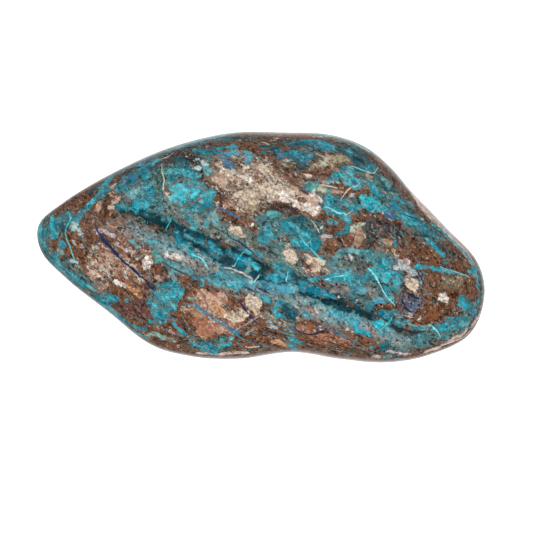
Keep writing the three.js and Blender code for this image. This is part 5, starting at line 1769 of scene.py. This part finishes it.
@dataclass(frozen=True)
class StudioFloor:
    """White acrylic, lit from below as on a product table: it throws pale light up round the edge."""

    colour: str = "#f4f4f4"
    roughness: float = 0.8  # how dull its satin face is
    glow: float = 0.7  # strength of the light that comes through it

    def build(self) -> bpy.types.Material:
        """Makes the floor's material.

        Returns:
            The finished material.
        """
        # Cast and sanded to satin: the eye sees an even white without any mirror image.
        material = bpy.data.materials.new("White acrylic, satin, lit from below")
        material.use_nodes = True
        tree = material.node_tree
        tree.nodes.clear()
        inputs = {
            "Base Color": linear(self.colour),
            "Roughness": self.roughness,
            "Emission Color": (1.0, 1.0, 1.0, 1.0),
            "Emission Strength": self.glow,
        }
        shader = add(tree, "BsdfPrincipled", inputs)
        add(tree, "OutputMaterial", {"Surface": shader.outputs[0]})
        return material


# ---- Studio ----


@dataclass(frozen=True)
class Softbox:
    """A soft rectangular light that the camera doesn't see."""

    name: str
    place: tuple[float, float, float]  # where it hangs, m
    size: tuple[float, float]  # its width and height, m
    power: float  # in watts
    shows: bool = True  # whether the polish mirrors it

    def build(self, target: Vector) -> None:
        """Hangs the light.

        Args:
            target: the point that it faces, in metres.
        """
        light = bpy.data.lights.new(self.name, "AREA")
        light.shape = "RECTANGLE"
        light.size, light.size_y = self.size
        light.energy = self.power
        lamp = bpy.data.objects.new(self.name, light)
        bpy.context.scene.collection.objects.link(lamp)
        lamp.location = self.place
        lamp.rotation_euler = (target - lamp.location).to_track_quat("-Z", "Y").to_euler()
        lamp.visible_camera = False
        lamp.visible_glossy = self.shows


@dataclass
class Studio:
    """A pale floor, soft light mostly from overhead, and a camera straight above the stone."""

    floor_size: float = 1.6  # side of the floor, m
    floor_gap: float = 0.1  # how far the floor lies under the stone, mm
    air: float = 0.16  # strength of the light that comes from all round
    air_swing: tuple[float, float] = (0.75, 1.25)  # its share from the dim side and from the bright one
    bright_side: tuple[float, float, float] = (0.45, 0.6, 0.0)  # where the bright side lies
    # strength of the white table's reflection, which edges the stone with a pale rim
    table_gleam: float = 0.9
    lens: float = 180.0  # focal length, mm
    sensor: float = 36.0  # sensor width, mm
    stone_share: float = 0.8396  # how much of the picture's width the stone takes
    waist_share: float = 0.4  # height of the stone's widest line, as a share of its thickness
    # how far the middle of the picture lies from the stone's, mm
    off_centre: tuple[float, float] = (1.0, -4.0)
    lights: tuple[Softbox, ...] = (
        Softbox("top_softbox", (-0.03, 0.11, 0.63), (0.80, 0.50), 3.75, shows=False),
        Softbox("back_softbox", (0.0, 0.46, 0.55), (0.80, 0.30), 0.55),
        Softbox("back_strip", (0.25, 0.60, 0.18), (0.70, 0.20), 0.15),
        Softbox("front_fill", (0.10, -0.50, 0.50), (0.60, 0.30), 2.5, shows=False),
    )

    def build(self, low: Vector, high: Vector) -> None:
        """Sets up the floor, the lights and the camera.

        Args:
            low: the lowest corner of the stone's box, in metres.
            high: its highest corner.
        """
        scene = bpy.context.scene
        scene.view_settings.view_transform = "Standard"
        world = bpy.data.worlds.new("studio_air")
        world.use_nodes = True
        tree = world.node_tree
        heading = add(tree, "TexCoord").outputs["Generated"]
        inputs = {0: heading, 1: self.bright_side}
        side = add(tree, "VectorMath", inputs, operation="DOT_PRODUCT").outputs["Value"]
        dim, bright = (share * self.air for share in self.air_swing)
        inputs = {"Value": side, "From Min": -0.7, "From Max": 0.75, "To Min": dim, "To Max": bright}
        around = add(tree, "MapRange", inputs).outputs["Result"]
        inputs = {0: heading, 1: (0.0, 0.0, -1.0)}
        down = add(tree, "VectorMath", inputs, operation="DOT_PRODUCT").outputs["Value"]
        inputs = {"Value": down, "From Min": 0.7, "From Max": 1.0, "To Max": self.table_gleam}
        gleam = add(tree, "MapRange", inputs).outputs["Result"]
        strength = add(tree, "Math", {0: around, 1: gleam}).outputs[0]
        tree.links.new(strength, tree.nodes["Background"].inputs["Strength"])
        tree.nodes["Background"].inputs["Color"].default_value = (1.0, 1.0, 1.0, 1.0)
        scene.world = world
        self._floor()
        middle = (low + high) / 2
        for light in self.lights:
            light.build(middle)
        self._camera(low, high)

    def _floor(self) -> None:
        """Lays the floor just under the stone."""
        floor = bmesh.new()
        bmesh.ops.create_grid(floor, x_segments=1, y_segments=1, size=self.floor_size / 2)
        bmesh.ops.translate(floor, verts=floor.verts, vec=(0, 0, -self.floor_gap * MM))
        mesh = bpy.data.meshes.new("floor")
        floor.to_mesh(mesh)
        floor.free()
        mesh.materials.append(StudioFloor().build())
        sheet = bpy.data.objects.new("floor", mesh)
        bpy.context.scene.collection.objects.link(sheet)
        sheet.visible_glossy = False
        sheet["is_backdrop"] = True

    def _camera(self, low: Vector, high: Vector) -> None:
        """Hangs the camera over the stone, looking straight down.

        Args:
            low: the lowest corner of the stone's box, in metres.
            high: its highest corner.
        """
        camera = bpy.data.cameras.new("camera")
        camera.lens, camera.sensor_width = self.lens, self.sensor
        holder = bpy.data.objects.new("camera", camera)
        bpy.context.scene.collection.objects.link(holder)
        picture = (high.x - low.x) / self.stone_share
        widest = low.z + self.waist_share * (high.z - low.z)
        x, y = ((low[i] + high[i]) / 2 + self.off_centre[i] * MM for i in (0, 1))
        holder.location = (x, y, widest + picture * self.lens / self.sensor)
        bpy.context.scene.camera = holder


# ---- Making ----


def main() -> None:
    """Builds the stone and its studio, and reports the stone's triangles and its markings."""
    logging.basicConfig(level=logging.INFO, format="%(message)s")
    cad_low, cad_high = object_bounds()
    body = StoneBody()
    stone = body.build(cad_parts[STONE_NODE])
    log.info("%s: %d triangles", stone.name, len(stone.data.polygons))
    MarkingPainter().paint(stone.data)
    log.info("markings: %d laid by hand", sum(len(m) for m in MARKINGS.values()))
    stone.data.materials.append(PolishedChrysocolla().build())
    Studio().build(cad_low, cad_high)


if __name__ == "__main__":
    main()
